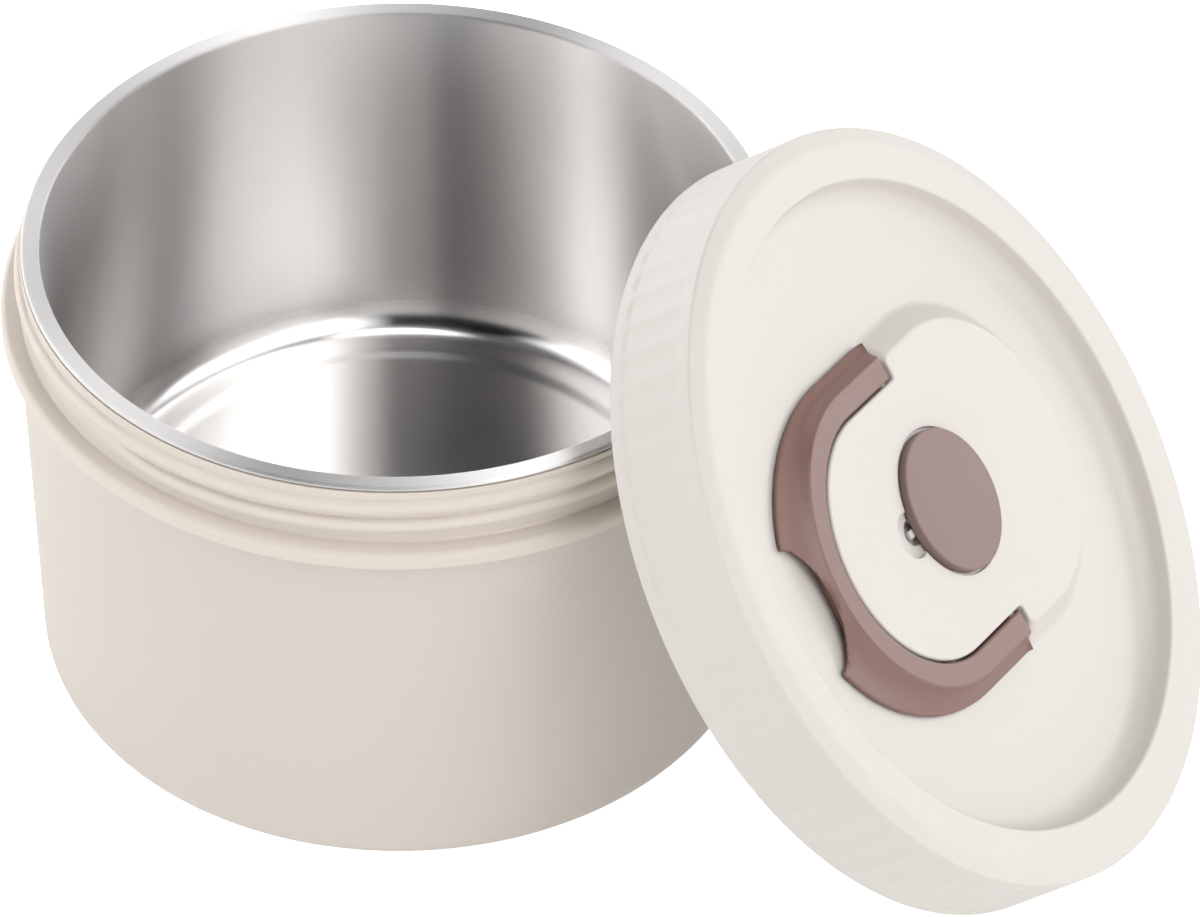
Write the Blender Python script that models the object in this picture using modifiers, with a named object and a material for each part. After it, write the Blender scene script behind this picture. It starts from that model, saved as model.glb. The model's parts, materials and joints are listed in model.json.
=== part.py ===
"""Insulated food container, with its screw lid taken off and leaning on the rim.

The steel bowl, its insulation and the outer shell stand on the floor around the Z axis.
The lid is modelled in its own frame, with its axis along Z and its skirt's edge at height 0,
and an empty leans it between the floor and the bowl's rim. Lengths are in metres.
"""
import math

import bmesh
import bpy
from mathutils import Vector

# General
CLEARANCE = 0.0003
SEGMENTS = 48
TOOL_SEGMENTS = 24
PIN_SEGMENTS = 16
SMOOTH_ANGLE = math.radians(35)

# Steel bowl
RIM_RADIUS = 0.0700
RIM_HEIGHT = 0.0955
RIM_WIDTH = 0.0034
RIM_ROUND = 0.0010
RIM_DROP = 0.0015
RIM_EDGE = 0.0005
BOWL_SHEET = 0.0007
BOWL_FLOOR_HEIGHT = 0.0230
BOWL_TAPER = 0.0051
BOWL_CORNER = 0.0050
BOWL_STEP_INSET = 0.0100
BOWL_STEP_DEPTH = 0.0006
RIM_SEAL_HEIGHT = 0.0005

# Outer shell
SHELL_STEP = 0.0010
SHELL_TAPER = 0.0033
SHELL_SHEET = 0.0008
SHELL_CORNER = 0.0070

# Neck collar and thread
NECK_STEP = 0.0002
NECK_HEIGHT = 0.0116
FLANGE_OVERHANG = 0.0007
FLANGE_THICKNESS = 0.0049
FLANGE_FALL = 0.0007
FLANGE_ROUND = 0.0010
COLLAR_SPIGOT_WALL = 0.0014
COLLAR_SPIGOT_DEPTH = 0.0090
THREAD_PITCH = 0.0039
THREAD_TURNS = 1.4
THREAD_DEPTH = 0.0011
THREAD_ROOT_WIDTH = 0.0026
THREAD_CREST_WIDTH = 0.0012
THREAD_SINK = 0.0004
NECK_THREAD_RISE = 0.0023
NECK_THREAD_START = math.radians(-125)

# Lid cover
LID_HEIGHT = 0.0203
LID_THREAD_GAP = 0.0005
LID_WALL = 0.0016
LID_TOP_WALL = 0.0020
LID_EDGE_ROUND = 0.0020
LID_FOOT_ROUND = 0.0005
RING_WIDTH = 0.0104
RING_ROUND = 0.0008
RECESS_DEPTH = 0.0051
RECESS_SLOPE = 0.0040
RECESS_CORNER = 0.0026
RECESS_CORNER_RISE = 0.0006
LID_THREAD_RISE = 0.0022
LID_THREAD_START = math.radians(20)

# Lid liner, insulation and sealing ring
LINER_WALL = 0.0015
LINER_FACE = 0.0030
PLUG_GAP = 0.0026
LINER_CORNER = 0.0015
LINER_HEADROOM = 0.0007
SEAL_HEIGHT = 0.0017
SEAL_OUTER_GAP = 0.0010
SEAL_CHAMFER = 0.0005

# Island and handle, on the lid's recess floor
ISLAND_TOP_DROP = 0.0010
ISLAND_BACK_DROP = 0.0001
ISLAND_ROOT = 0.0006
ISLAND_MOAT = 0.0106
ISLAND_TOP_RADIUS = 0.0288
ISLAND_FOOT_RADIUS = 0.0330
HANDLE_INNER_RADIUS = 0.0242
HANDLE_INNER_GAP = 0.0005
HANDLE_FLOOR_GAP = 0.0004
HANDLE_FOOT_SHIFT = 0.0021
HANDLE_FOOT_SHARE = 0.55
HANDLE_WAIST_SHARE = 0.28
HANDLE_BEND_STEPS = 18
HANDLE_END_ANGLES = (80, 55, 28, 0)
PIVOT_OFFSET = -0.0014
POCKET_GAP = 0.0008
SCOOP_DEPTH = 0.0055
SCOOP_RADIUS = 0.0180
PIN_RADIUS = 0.0010
PIN_IN_ISLAND = 0.0046
PIN_IN_ARM = 0.0036

# Vent
VENT_CAP_RADIUS = 0.0131
VENT_CAP_STAND = 0.0025
VENT_CAP_ROUND = 0.0006
VENT_SEAT_GAP = 0.0011
VENT_SEAT_DEPTH = 0.0006
VENT_HEAD_RADIUS = 0.0070
VENT_HEAD_HEIGHT = 0.0010
VENT_STEM_RADIUS = 0.0032
VENT_BARB_RADIUS = 0.0044
VENT_BARB_HEIGHT = 0.0016
VENT_TRAVEL = 0.0040
VENT_WELL_RADIUS = 0.0090
VENT_TUBE_WALL = 0.0016
TAB_LENGTH = 0.0141
TAB_WIDTH = 0.0016
TAB_HEIGHT = 0.0010
NOTCH_CENTRE = 0.0146
NOTCH_RADIUS = 0.0042
NOTCH_DROP = 0.0002
PIT_CENTRE = 0.0126
PIT_RADIUS = 0.0024
PIT_FLOOR_GAP = 0.0006

# How the lid leans
LEAN_TILT = math.radians(52.0)
LEAN_AZIMUTH = math.radians(-18.1)
LEAN_SIDESTEP = -0.0106
LID_SPIN = math.radians(-105.0)

# Radii that follow from the rim: bowl, shell, neck, and the lid that screws over them
MOUTH_RADIUS = RIM_RADIUS - RIM_WIDTH
BOWL_FOOT_RADIUS = MOUTH_RADIUS - BOWL_TAPER
BOWL_STEP_RADIUS = BOWL_FOOT_RADIUS - BOWL_STEP_INSET
SHELL_TOP_RADIUS = RIM_RADIUS + SHELL_STEP
SHELL_FOOT_RADIUS = SHELL_TOP_RADIUS - SHELL_TAPER
NECK_RADIUS = RIM_RADIUS + NECK_STEP
SKIRT_INNER_RADIUS = NECK_RADIUS + THREAD_DEPTH + LID_THREAD_GAP
LID_RADIUS = SKIRT_INNER_RADIUS + LID_WALL
FLANGE_RADIUS = LID_RADIUS + FLANGE_OVERHANG
RING_INNER_RADIUS = LID_RADIUS - RING_WIDTH
RECESS_FLOOR_RADIUS = RING_INNER_RADIUS - RECESS_SLOPE
ISLAND_CENTRE = RECESS_FLOOR_RADIUS - ISLAND_MOAT - ISLAND_FOOT_RADIUS
LINER_PLUG_RADIUS = MOUTH_RADIUS - PLUG_GAP
LINER_INSIDE_RADIUS = LINER_PLUG_RADIUS - LINER_WALL

# Heights of the collar, below the rim
FLANGE_TOP = RIM_HEIGHT - NECK_HEIGHT
FLANGE_BOTTOM = FLANGE_TOP - FLANGE_THICKNESS

# Heights in the lid's frame that several pieces share
RECESS_FLOOR = LID_HEIGHT - RECESS_DEPTH
ISLAND_TOP = LID_HEIGHT - ISLAND_TOP_DROP
COVER_UNDERSIDE = RECESS_FLOOR - LID_TOP_WALL
RING_UNDERSIDE = LID_HEIGHT - LID_TOP_WALL
COVER_SLOPE_FOOT = RECESS_FLOOR_RADIUS + LID_TOP_WALL
COVER_SLOPE = (RING_UNDERSIDE - COVER_UNDERSIDE) / RECESS_SLOPE
LINER_TOP = COVER_UNDERSIDE + COVER_SLOPE * (LINER_INSIDE_RADIUS - COVER_SLOPE_FOOT) - LINER_HEADROOM
LINER_SEAT = LINER_TOP - LINER_WALL
PIVOT_HEIGHT = (RECESS_FLOOR + HANDLE_FLOOR_GAP + ISLAND_TOP) / 2
ARM_HALF = (ISLAND_TOP - RECESS_FLOOR - HANDLE_FLOOR_GAP) / 2
CORE_RADIUS = HANDLE_INNER_RADIUS - HANDLE_INNER_GAP
POCKET_END = PIVOT_OFFSET - ARM_HALF - POCKET_GAP
VENT_SEAT = ISLAND_TOP - VENT_SEAT_DEPTH
VENT_BORE_RADIUS = VENT_STEM_RADIUS + CLEARANCE
WELL_TOP = LINER_FACE + VENT_BARB_HEIGHT + VENT_TRAVEL + CLEARANCE

for stale in list(bpy.data.objects):
    bpy.data.objects.remove(stale)

parts = bpy.data.collections.new("insulated_food_container")
cutters = bpy.data.collections.new("cutters")
for collection in (parts, cutters):
    bpy.context.scene.collection.children.link(collection)


def principled(name, colour, roughness, metallic=0.0):
    """A plain Principled material."""
    material = bpy.data.materials.new(name)
    material.use_nodes = True
    shader = material.node_tree.nodes["Principled BSDF"]
    shader.inputs["Base Color"].default_value = (*colour, 1.0)
    shader.inputs["Roughness"].default_value = roughness
    shader.inputs["Metallic"].default_value = metallic
    return material


def new_object(name, mesh, collection=parts):
    """Link a mesh object to a collection. Tools are kept out of renders."""
    obj = bpy.data.objects.new(name, mesh)
    collection.objects.link(obj)
    if collection is cutters:
        obj.hide_render = True
        obj.display_type = "WIRE"
    return obj


def finish(obj, material, parent=None):
    """Give a part its material and smooth shading, and hang it on its frame."""
    obj.data.materials.append(material)
    obj.data.shade_smooth()
    obj.data.set_sharp_from_angle(angle=SMOOTH_ANGLE)
    obj.parent = parent
    return obj


def arc(centre_r, centre_z, radius, start, end, steps):
    """Points of a profile's round stretch, angles in degrees from +r towards +z."""
    angles = [math.radians(start + (end - start) * i / steps) for i in range(steps + 1)]
    return [(centre_r + radius * math.cos(a), centre_z + radius * math.sin(a)) for a in angles]


def turned(name, profile, closed=False, segments=SEGMENTS, collection=parts):
    """Turn a profile of (radius, height) points around Z."""
    mesh = bpy.data.meshes.new(name)
    edges = [(i, i + 1) for i in range(len(profile) - 1)]
    if closed:
        edges.append((len(profile) - 1, 0))
    mesh.from_pydata([(r, 0.0, z) for r, z in profile], edges, [])
    obj = new_object(name, mesh, collection)
    screw = obj.modifiers.new("turn", "SCREW")
    screw.steps = screw.render_steps = segments
    screw.use_merge_vertices = True
    screw.merge_threshold = 0.00001
    return obj


def evaluated_mesh(obj):
    """The mesh that an object's modifiers give."""
    graph = bpy.context.evaluated_depsgraph_get()
    return bpy.data.meshes.new_from_object(obj.evaluated_get(graph))


def thread_ridge(name, radius, direction, start, rise):
    """A helical ridge standing on a cylinder, outwards (+1) or inwards (-1)."""
    half_root = THREAD_ROOT_WIDTH / 2
    half_crest = THREAD_CREST_WIDTH / 2
    root = radius - direction * THREAD_SINK
    crest = radius + direction * THREAD_DEPTH
    section = [(root, -half_root), (root, half_root), (crest, half_crest), (crest, -half_crest)]
    mesh = bpy.data.meshes.new(name)
    mesh.from_pydata([(r, 0.0, z + rise) for r, z in section], [(0, 1), (1, 2), (2, 3), (3, 0)], [])
    path = new_object(name + "_path", mesh, cutters)
    screw = path.modifiers.new("helix", "SCREW")
    screw.angle = 2 * math.pi * THREAD_TURNS
    screw.screw_offset = THREAD_PITCH * THREAD_TURNS
    screw.steps = screw.render_steps = round(SEGMENTS * THREAD_TURNS)
    ridge = new_object(name, evaluated_mesh(path), cutters)
    bpy.data.objects.remove(path)
    body = bmesh.new()
    body.from_mesh(ridge.data)
    bmesh.ops.holes_fill(body, edges=body.edges, sides=len(section))
    bmesh.ops.recalc_face_normals(body, faces=body.faces)
    body.to_mesh(ridge.data)
    body.free()
    ridge.rotation_euler.z = start
    return ridge


def loft(name, rings, collection=parts):
    """A closed solid through rings of as many points each, capped at both ends."""
    body = bmesh.new()
    loops = [[body.verts.new(point) for point in ring] for ring in rings]
    count = len(rings[0])
    for lower, upper in zip(loops, loops[1:]):
        for i in range(count):
            j = (i + 1) % count
            body.faces.new((lower[i], lower[j], upper[j], upper[i]))
    body.faces.new(loops[0])
    body.faces.new(loops[-1])
    bmesh.ops.recalc_face_normals(body, faces=body.faces)
    mesh = bpy.data.meshes.new(name)
    body.to_mesh(mesh)
    body.free()
    return new_object(name, mesh, collection)


def drum(name, radius, depth, place, along="Z", segments=TOOL_SEGMENTS):
    """A cylinder for cutting, centred on a place."""
    body = bmesh.new()
    bmesh.ops.create_cone(body, cap_ends=True, segments=segments, radius1=radius, radius2=radius, depth=depth)
    mesh = bpy.data.meshes.new(name)
    body.to_mesh(mesh)
    body.free()
    obj = new_object(name, mesh, cutters)
    obj.location = place
    if along == "Y":
        obj.rotation_euler.x = math.pi / 2
    return obj


def block(name, size, place):
    """A box for cutting or joining, centred on a place."""
    body = bmesh.new()
    bmesh.ops.create_cube(body, size=1.0)
    bmesh.ops.scale(body, vec=size, verts=body.verts)
    mesh = bpy.data.meshes.new(name)
    body.to_mesh(mesh)
    body.free()
    obj = new_object(name, mesh, cutters)
    obj.location = place
    return obj


def combine(obj, tool, operation):
    """Cut a tool from a part or join it on. The tool shares the part's frame."""
    tool.parent = obj.parent
    boolean = obj.modifiers.new(tool.name, "BOOLEAN")
    boolean.operation = operation
    boolean.solver = "EXACT"
    boolean.object = tool


def bowl_outer_radius(height):
    """Outside radius of the bowl's tapering wall."""
    share = (height - BOWL_FLOOR_HEIGHT) / (RIM_HEIGHT - BOWL_FLOOR_HEIGHT)
    return BOWL_FOOT_RADIUS + BOWL_TAPER * share + BOWL_SHEET


def shell_inner_radius(height):
    """Inside radius of the outer shell's tapering wall."""
    share = height / FLANGE_BOTTOM
    return SHELL_FOOT_RADIUS + SHELL_TAPER * share - SHELL_SHEET


def bowl_corner(offset, steps=4):
    """The bowl's round bottom corner, moved out from its inside face by an offset."""
    centre_z = BOWL_FLOOR_HEIGHT + BOWL_CORNER
    centre_r = bowl_outer_radius(centre_z) - BOWL_SHEET - BOWL_CORNER
    return arc(centre_r, centre_z, BOWL_CORNER + offset, -90, 0, steps)


def shell_corner(offset, steps=4):
    """The shell's round bottom corner, moved in from its outside face by an offset."""
    centre_r = shell_inner_radius(SHELL_CORNER) + SHELL_SHEET - SHELL_CORNER
    return arc(centre_r, SHELL_CORNER, SHELL_CORNER - offset, -90, 0, steps)


def make_bowl(material):
    """Steel bowl: stepped floor, round corner, tapering wall and a rim rolled outwards."""
    lip_inner = RIM_RADIUS - BOWL_SHEET
    step_floor = BOWL_FLOOR_HEIGHT - BOWL_STEP_DEPTH
    inside = [(0.0, step_floor), (BOWL_STEP_RADIUS, step_floor)]
    inside += [(BOWL_STEP_RADIUS + BOWL_STEP_DEPTH, BOWL_FLOOR_HEIGHT)] + bowl_corner(0.0)
    inside += [(MOUTH_RADIUS, RIM_HEIGHT - RIM_EDGE), (MOUTH_RADIUS + RIM_EDGE, RIM_HEIGHT)]
    rim = arc(RIM_RADIUS - RIM_ROUND, RIM_HEIGHT - RIM_ROUND, RIM_ROUND, 90, 0, 3)
    rim += [(RIM_RADIUS, RIM_HEIGHT - RIM_DROP), (lip_inner, RIM_HEIGHT - RIM_DROP)]
    rim += [(lip_inner, RIM_HEIGHT - RIM_ROUND), (lip_inner - RIM_EDGE, RIM_HEIGHT - BOWL_SHEET)]
    neck_height = RIM_HEIGHT - BOWL_SHEET
    outside = [(bowl_outer_radius(neck_height), neck_height)] + bowl_corner(BOWL_SHEET)[::-1]
    outside += [(0.0, BOWL_FLOOR_HEIGHT - BOWL_SHEET - BOWL_STEP_DEPTH)]
    outside.insert(-1, (BOWL_STEP_RADIUS, BOWL_FLOOR_HEIGHT - BOWL_SHEET - BOWL_STEP_DEPTH))
    outside.insert(-2, (BOWL_STEP_RADIUS + BOWL_STEP_DEPTH, BOWL_FLOOR_HEIGHT - BOWL_SHEET))
    return finish(turned("inner_bowl", inside + rim + outside), material)


def make_shell(material):
    """Outer shell: a tapering cup with a round bottom corner."""
    top = FLANGE_BOTTOM - CLEARANCE
    inner_top = shell_inner_radius(top)
    profile = [(0.0, SHELL_SHEET)] + shell_corner(SHELL_SHEET) + [(inner_top, top)]
    profile += [(inner_top + SHELL_SHEET, top)] + shell_corner(0.0)[::-1] + [(0.0, 0.0)]
    return finish(turned("outer_shell", profile), material)


def make_body_insulation(material):
    """Insulating cup that fills the space between bowl and shell."""
    top = FLANGE_BOTTOM - COLLAR_SPIGOT_DEPTH - CLEARANCE
    bed = BOWL_FLOOR_HEIGHT - BOWL_SHEET - BOWL_STEP_DEPTH - CLEARANCE
    profile = [(0.0, bed)] + bowl_corner(BOWL_SHEET + BOWL_STEP_DEPTH + CLEARANCE)
    profile += [(bowl_outer_radius(top) + BOWL_STEP_DEPTH + CLEARANCE, top)]
    profile += [(shell_inner_radius(top) - CLEARANCE, top)]
    profile += shell_corner(SHELL_SHEET + CLEARANCE)[::-1] + [(0.0, SHELL_SHEET + CLEARANCE)]
    return finish(turned("body_insulation", profile), material)


def make_rim_seal(material):
    """Flat ring that lies on the collar, under the rolled rim."""
    bottom = RIM_HEIGHT - BOWL_SHEET - CLEARANCE - RIM_SEAL_HEIGHT
    top = bottom + RIM_SEAL_HEIGHT
    inner = bowl_outer_radius(RIM_HEIGHT) + CLEARANCE
    outer = RIM_RADIUS - BOWL_SHEET - 2 * CLEARANCE
    profile = [(outer, top), (outer, bottom), (inner, bottom), (inner, top)]
    return finish(turned("rim_seal", profile, closed=True), material)


def make_collar(material):
    """Neck collar: threaded neck, shoulder flange and a spigot inside the shell."""
    top = min(RIM_HEIGHT - RIM_DROP, RIM_HEIGHT - BOWL_SHEET - CLEARANCE - RIM_SEAL_HEIGHT) - CLEARANCE
    inner = bowl_outer_radius(RIM_HEIGHT) + CLEARANCE
    spigot_bottom = FLANGE_BOTTOM - COLLAR_SPIGOT_DEPTH
    spigot_top_radius = shell_inner_radius(FLANGE_BOTTOM) - CLEARANCE
    spigot_foot_radius = shell_inner_radius(spigot_bottom) - CLEARANCE
    profile = [(NECK_RADIUS, top), (NECK_RADIUS, FLANGE_TOP + FLANGE_FALL)]
    profile += arc(FLANGE_RADIUS - FLANGE_ROUND, FLANGE_TOP - FLANGE_ROUND, FLANGE_ROUND, 90, 0, 3)
    profile += arc(FLANGE_RADIUS - FLANGE_ROUND, FLANGE_BOTTOM + FLANGE_ROUND, FLANGE_ROUND, 0, -90, 2)
    profile += [(spigot_top_radius, FLANGE_BOTTOM), (spigot_foot_radius, spigot_bottom)]
    profile += [(spigot_foot_radius - COLLAR_SPIGOT_WALL, spigot_bottom)]
    profile += [(inner, FLANGE_BOTTOM), (inner, top)]
    collar = turned("neck_collar", profile, closed=True)
    rise = FLANGE_TOP + NECK_THREAD_RISE
    ridge = thread_ridge("neck_thread", NECK_RADIUS, 1, NECK_THREAD_START, rise)
    combine(collar, ridge, "UNION")
    return finish(collar, material)


def lean_frame():
    """Empties that lean the lid: skirt edge on the floor, liner face against the rim."""
    lid_axis = Vector((math.sin(LEAN_TILT), math.cos(LEAN_TILT)))
    rim_round_centre = Vector((RIM_RADIUS - RIM_ROUND, RIM_HEIGHT - RIM_ROUND))
    rim_reach = rim_round_centre.dot(lid_axis) + RIM_ROUND + CLEARANCE
    foot_radius = LID_RADIUS - LID_FOOT_ROUND
    centre_height = foot_radius * math.sin(LEAN_TILT)
    away = (rim_reach - LINER_FACE - centre_height * math.cos(LEAN_TILT)) / math.sin(LEAN_TILT)
    lean = bpy.data.objects.new("lid_lean", None)
    parts.objects.link(lean)
    outwards = Vector((math.cos(LEAN_AZIMUTH), math.sin(LEAN_AZIMUTH), 0.0))
    sideways = Vector((-outwards.y, outwards.x, 0.0))
    lean.location = outwards * away + sideways * LEAN_SIDESTEP + Vector((0.0, 0.0, centre_height))
    lean.rotation_euler = (0.0, LEAN_TILT, LEAN_AZIMUTH)
    spin = bpy.data.objects.new("lid_spin", None)
    parts.objects.link(spin)
    spin.parent = lean
    spin.rotation_euler.z = LID_SPIN
    return spin


def oval(centre, radius, height, steps=12):
    """Points of an oval along X, two half circles about centres at plus and minus centre."""
    points = []
    for side in (1, -1):
        for i in range(steps + 1):
            angle = math.pi * (i / steps - 0.5) + (0.0 if side > 0 else math.pi)
            points.append((side * centre + radius * math.cos(angle), radius * math.sin(angle), height))
    return points


def half_oval(centre, radius, end, height, steps=12):
    """The part of such an oval that lies on the far side of X = end."""
    points = [(end, radius, height)]
    for i in range(steps + 1):
        angle = math.pi * (0.5 + i / steps)
        points.append((-centre + radius * math.cos(angle), radius * math.sin(angle), height))
    return points + [(end, -radius, height)]


def make_lid_cover(material, frame):
    """Lid shell with its skirt, raised ring, recess, island, thread and vent seat."""
    ledge = LINER_TOP + CLEARANCE
    profile = [(0.0, RECESS_FLOOR), (RECESS_FLOOR_RADIUS - RECESS_CORNER, RECESS_FLOOR)]
    profile += [(RECESS_FLOOR_RADIUS, RECESS_FLOOR + RECESS_CORNER_RISE)]
    profile += [(RING_INNER_RADIUS - RING_ROUND, LID_HEIGHT - RING_ROUND), (RING_INNER_RADIUS, LID_HEIGHT)]
    profile += arc(LID_RADIUS - LID_EDGE_ROUND, LID_HEIGHT - LID_EDGE_ROUND, LID_EDGE_ROUND, 90, 0, 3)
    profile += [(LID_RADIUS, LID_FOOT_ROUND), (LID_RADIUS - LID_FOOT_ROUND, 0.0)]
    profile += [(SKIRT_INNER_RADIUS, 0.0), (SKIRT_INNER_RADIUS, ledge)]
    profile += [(SKIRT_INNER_RADIUS - LID_WALL, ledge), (SKIRT_INNER_RADIUS - LID_WALL, RING_UNDERSIDE)]
    profile += [(COVER_SLOPE_FOOT + RECESS_SLOPE, RING_UNDERSIDE)]
    profile += [(COVER_SLOPE_FOOT, COVER_UNDERSIDE), (0.0, COVER_UNDERSIDE)]
    cover = turned("lid_cover", profile)
    cover.parent = frame
    ridge = thread_ridge("lid_thread", SKIRT_INNER_RADIUS, -1, LID_THREAD_START, LID_THREAD_RISE)
    combine(cover, ridge, "UNION")

    root = RECESS_FLOOR - ISLAND_ROOT
    back_root = root - ISLAND_BACK_DROP
    back_top = ISLAND_TOP - ISLAND_BACK_DROP
    core_rings = [oval(ISLAND_CENTRE, CORE_RADIUS, z) for z in (root, ISLAND_TOP)]
    combine(cover, loft("island_core", core_rings, cutters), "UNION")
    slope = (ISLAND_FOOT_RADIUS - ISLAND_TOP_RADIUS) / (back_top - RECESS_FLOOR)
    root_radius = ISLAND_FOOT_RADIUS + slope * (RECESS_FLOOR - back_root)
    back_rings = [
        half_oval(ISLAND_CENTRE, root_radius, POCKET_END, back_root),
        half_oval(ISLAND_CENTRE, ISLAND_TOP_RADIUS, POCKET_END, back_top),
    ]
    combine(cover, loft("island_back", back_rings, cutters), "UNION")

    deep = LID_HEIGHT
    seat_radius = VENT_CAP_RADIUS + VENT_SEAT_GAP
    tab_bottom = VENT_SEAT - TAB_HEIGHT
    pit_floor = tab_bottom - PIT_FLOOR_GAP
    slot_width = TAB_WIDTH + 2 * CLEARANCE
    slot_length = PIT_CENTRE
    slot_floor = tab_bottom - CLEARANCE
    tools = [
        drum("vent_seat", seat_radius, deep, (0, 0, VENT_SEAT + deep / 2), segments=SEGMENTS),
        drum("nail_notch", NOTCH_RADIUS, deep, (NOTCH_CENTRE, 0, VENT_SEAT - NOTCH_DROP + deep / 2)),
        drum("nail_pit", PIT_RADIUS, deep, (PIT_CENTRE, 0, pit_floor + deep / 2)),
        block("tab_slot", (slot_length, slot_width, deep), (slot_length / 2, 0, slot_floor + deep / 2)),
        drum("vent_bore", VENT_BORE_RADIUS, deep, (0, 0, RECESS_FLOOR)),
    ]
    for side, name in ((1, "left"), (-1, "right")):
        reach = PIN_IN_ISLAND + CLEARANCE
        place = (PIVOT_OFFSET, side * CORE_RADIUS, PIVOT_HEIGHT)
        tools.append(drum("pin_socket_" + name, PIN_RADIUS + CLEARANCE, 2 * reach, place, "Y", PIN_SEGMENTS))
    for tool in tools:
        combine(cover, tool, "DIFFERENCE")
    return finish(cover, material, frame)


def make_lid_liner(material, frame):
    """Inner lid plate: a plug that enters the mouth, a flange for the seal and the vent tube."""
    flange_radius = SKIRT_INNER_RADIUS - CLEARANCE
    tube_radius = VENT_BORE_RADIUS + VENT_TUBE_WALL
    tube_top = COVER_UNDERSIDE - CLEARANCE
    well_wall = VENT_WELL_RADIUS + LINER_WALL
    profile = [(flange_radius, LINER_TOP), (flange_radius, LINER_SEAT), (LINER_PLUG_RADIUS, LINER_SEAT)]
    profile += [(LINER_PLUG_RADIUS, LINER_FACE + LINER_CORNER)]
    profile += [(LINER_PLUG_RADIUS - LINER_CORNER, LINER_FACE)]
    profile += [(VENT_WELL_RADIUS, LINER_FACE), (VENT_WELL_RADIUS, WELL_TOP), (VENT_BORE_RADIUS, WELL_TOP)]
    profile += [(VENT_BORE_RADIUS, tube_top), (tube_radius, tube_top), (tube_radius, WELL_TOP + LINER_WALL)]
    profile += [(well_wall, WELL_TOP + LINER_WALL), (well_wall, LINER_FACE + LINER_WALL)]
    profile += [(LINER_INSIDE_RADIUS, LINER_FACE + LINER_WALL), (LINER_INSIDE_RADIUS, LINER_TOP)]
    return finish(turned("lid_liner", profile, closed=True), material, frame)


def make_lid_insulation(material, frame):
    """Foam disc inside the lid, around the vent well."""
    outer = LINER_INSIDE_RADIUS - CLEARANCE
    inner = VENT_WELL_RADIUS + LINER_WALL + CLEARANCE
    top = COVER_UNDERSIDE - CLEARANCE
    bottom = LINER_FACE + LINER_WALL + CLEARANCE
    profile = [(outer, top), (outer, bottom), (inner, bottom), (inner, top)]
    return finish(turned("lid_insulation", profile, closed=True), material, frame)


def make_sealing_ring(material, frame):
    """Silicone ring under the liner's flange, with a lip that meets the steel rim."""
    top = LINER_SEAT - CLEARANCE
    bottom = top - SEAL_HEIGHT
    inner = LINER_PLUG_RADIUS + CLEARANCE
    outer = SKIRT_INNER_RADIUS - SEAL_OUTER_GAP
    profile = [(outer, top), (outer, bottom + SEAL_CHAMFER), (outer - SEAL_CHAMFER, bottom)]
    profile += [(inner + SEAL_CHAMFER, bottom), (inner, bottom + SEAL_CHAMFER), (inner, top)]
    return finish(turned("sealing_ring", profile, closed=True), material, frame)


def handle_section(along, outwards, foot_outwards, half_height):
    """One cross-section of the bail at a place on its inner edge."""
    low = -half_height
    ridge_width = ISLAND_TOP_RADIUS - HANDLE_INNER_RADIUS
    foot_width = ISLAND_FOOT_RADIUS - HANDLE_INNER_RADIUS
    ridge = along + outwards * ridge_width
    foot = along + outwards * foot_width + foot_outwards
    waist = ridge.lerp(foot, HANDLE_WAIST_SHARE)
    corners = [(along, low), (along, half_height), (ridge, half_height)]
    corners += [(waist, 0.0), (foot, low * HANDLE_FOOT_SHARE), (foot, low)]
    return [(place.x, place.y, height) for place, height in corners]


def make_handle(material, hinge):
    """Bail handle, modelled around its hinge: straight arms with round ends and a half circle."""
    reach = ISLAND_CENTRE - PIVOT_OFFSET
    rings = []
    for side in (1, -1):
        arm = []
        outwards = Vector((0.0, side))
        for angle in map(math.radians, HANDLE_END_ANGLES):
            place = Vector((-ARM_HALF * math.sin(angle), side * HANDLE_INNER_RADIUS))
            arm.append(handle_section(place, outwards, Vector((0.0, 0.0)), ARM_HALF * math.cos(angle)))
        rings.append(arm)
    bend = []
    for i in range(HANDLE_BEND_STEPS + 1):
        angle = math.pi * (0.5 - i / HANDLE_BEND_STEPS)
        outwards = Vector((math.cos(angle), math.sin(angle)))
        place = Vector((reach, 0.0)) + outwards * HANDLE_INNER_RADIUS
        bend.append(handle_section(place, outwards, Vector((HANDLE_FOOT_SHIFT * outwards.x, 0.0)), ARM_HALF))
    handle = loft("carry_handle", rings[0] + bend + rings[1][::-1])
    handle.parent = hinge
    foot_end = reach + HANDLE_FOOT_SHIFT + ISLAND_FOOT_RADIUS
    scoop_place = (foot_end - SCOOP_DEPTH + SCOOP_RADIUS, 0.0, 0.0)
    scoop = drum("finger_scoop", SCOOP_RADIUS, LID_HEIGHT, scoop_place, segments=SEGMENTS)
    combine(handle, scoop, "DIFFERENCE")
    for side, name in ((1, "left"), (-1, "right")):
        depth = PIN_IN_ARM + CLEARANCE
        place = (0.0, side * HANDLE_INNER_RADIUS, 0.0)
        bore = drum("arm_bore_" + name, PIN_RADIUS + CLEARANCE, 2 * depth, place, "Y", PIN_SEGMENTS)
        combine(handle, bore, "DIFFERENCE")
    return finish(handle, material, hinge)


def make_hinge_pin(name, side, material, frame):
    """Pivot pin from the island's socket into an arm of the handle."""
    inner_end = CORE_RADIUS - PIN_IN_ISLAND
    outer_end = HANDLE_INNER_RADIUS + PIN_IN_ARM
    body = bmesh.new()
    length = outer_end - inner_end
    bmesh.ops.create_cone(
        body, cap_ends=True, segments=PIN_SEGMENTS, radius1=PIN_RADIUS, radius2=PIN_RADIUS, depth=length
    )
    mesh = bpy.data.meshes.new(name)
    body.to_mesh(mesh)
    body.free()
    pin = new_object(name, mesh)
    pin.rotation_euler.x = math.pi / 2
    pin.location = (PIVOT_OFFSET, side * (inner_end + outer_end) / 2, PIVOT_HEIGHT)
    return finish(pin, material, frame)


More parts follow.
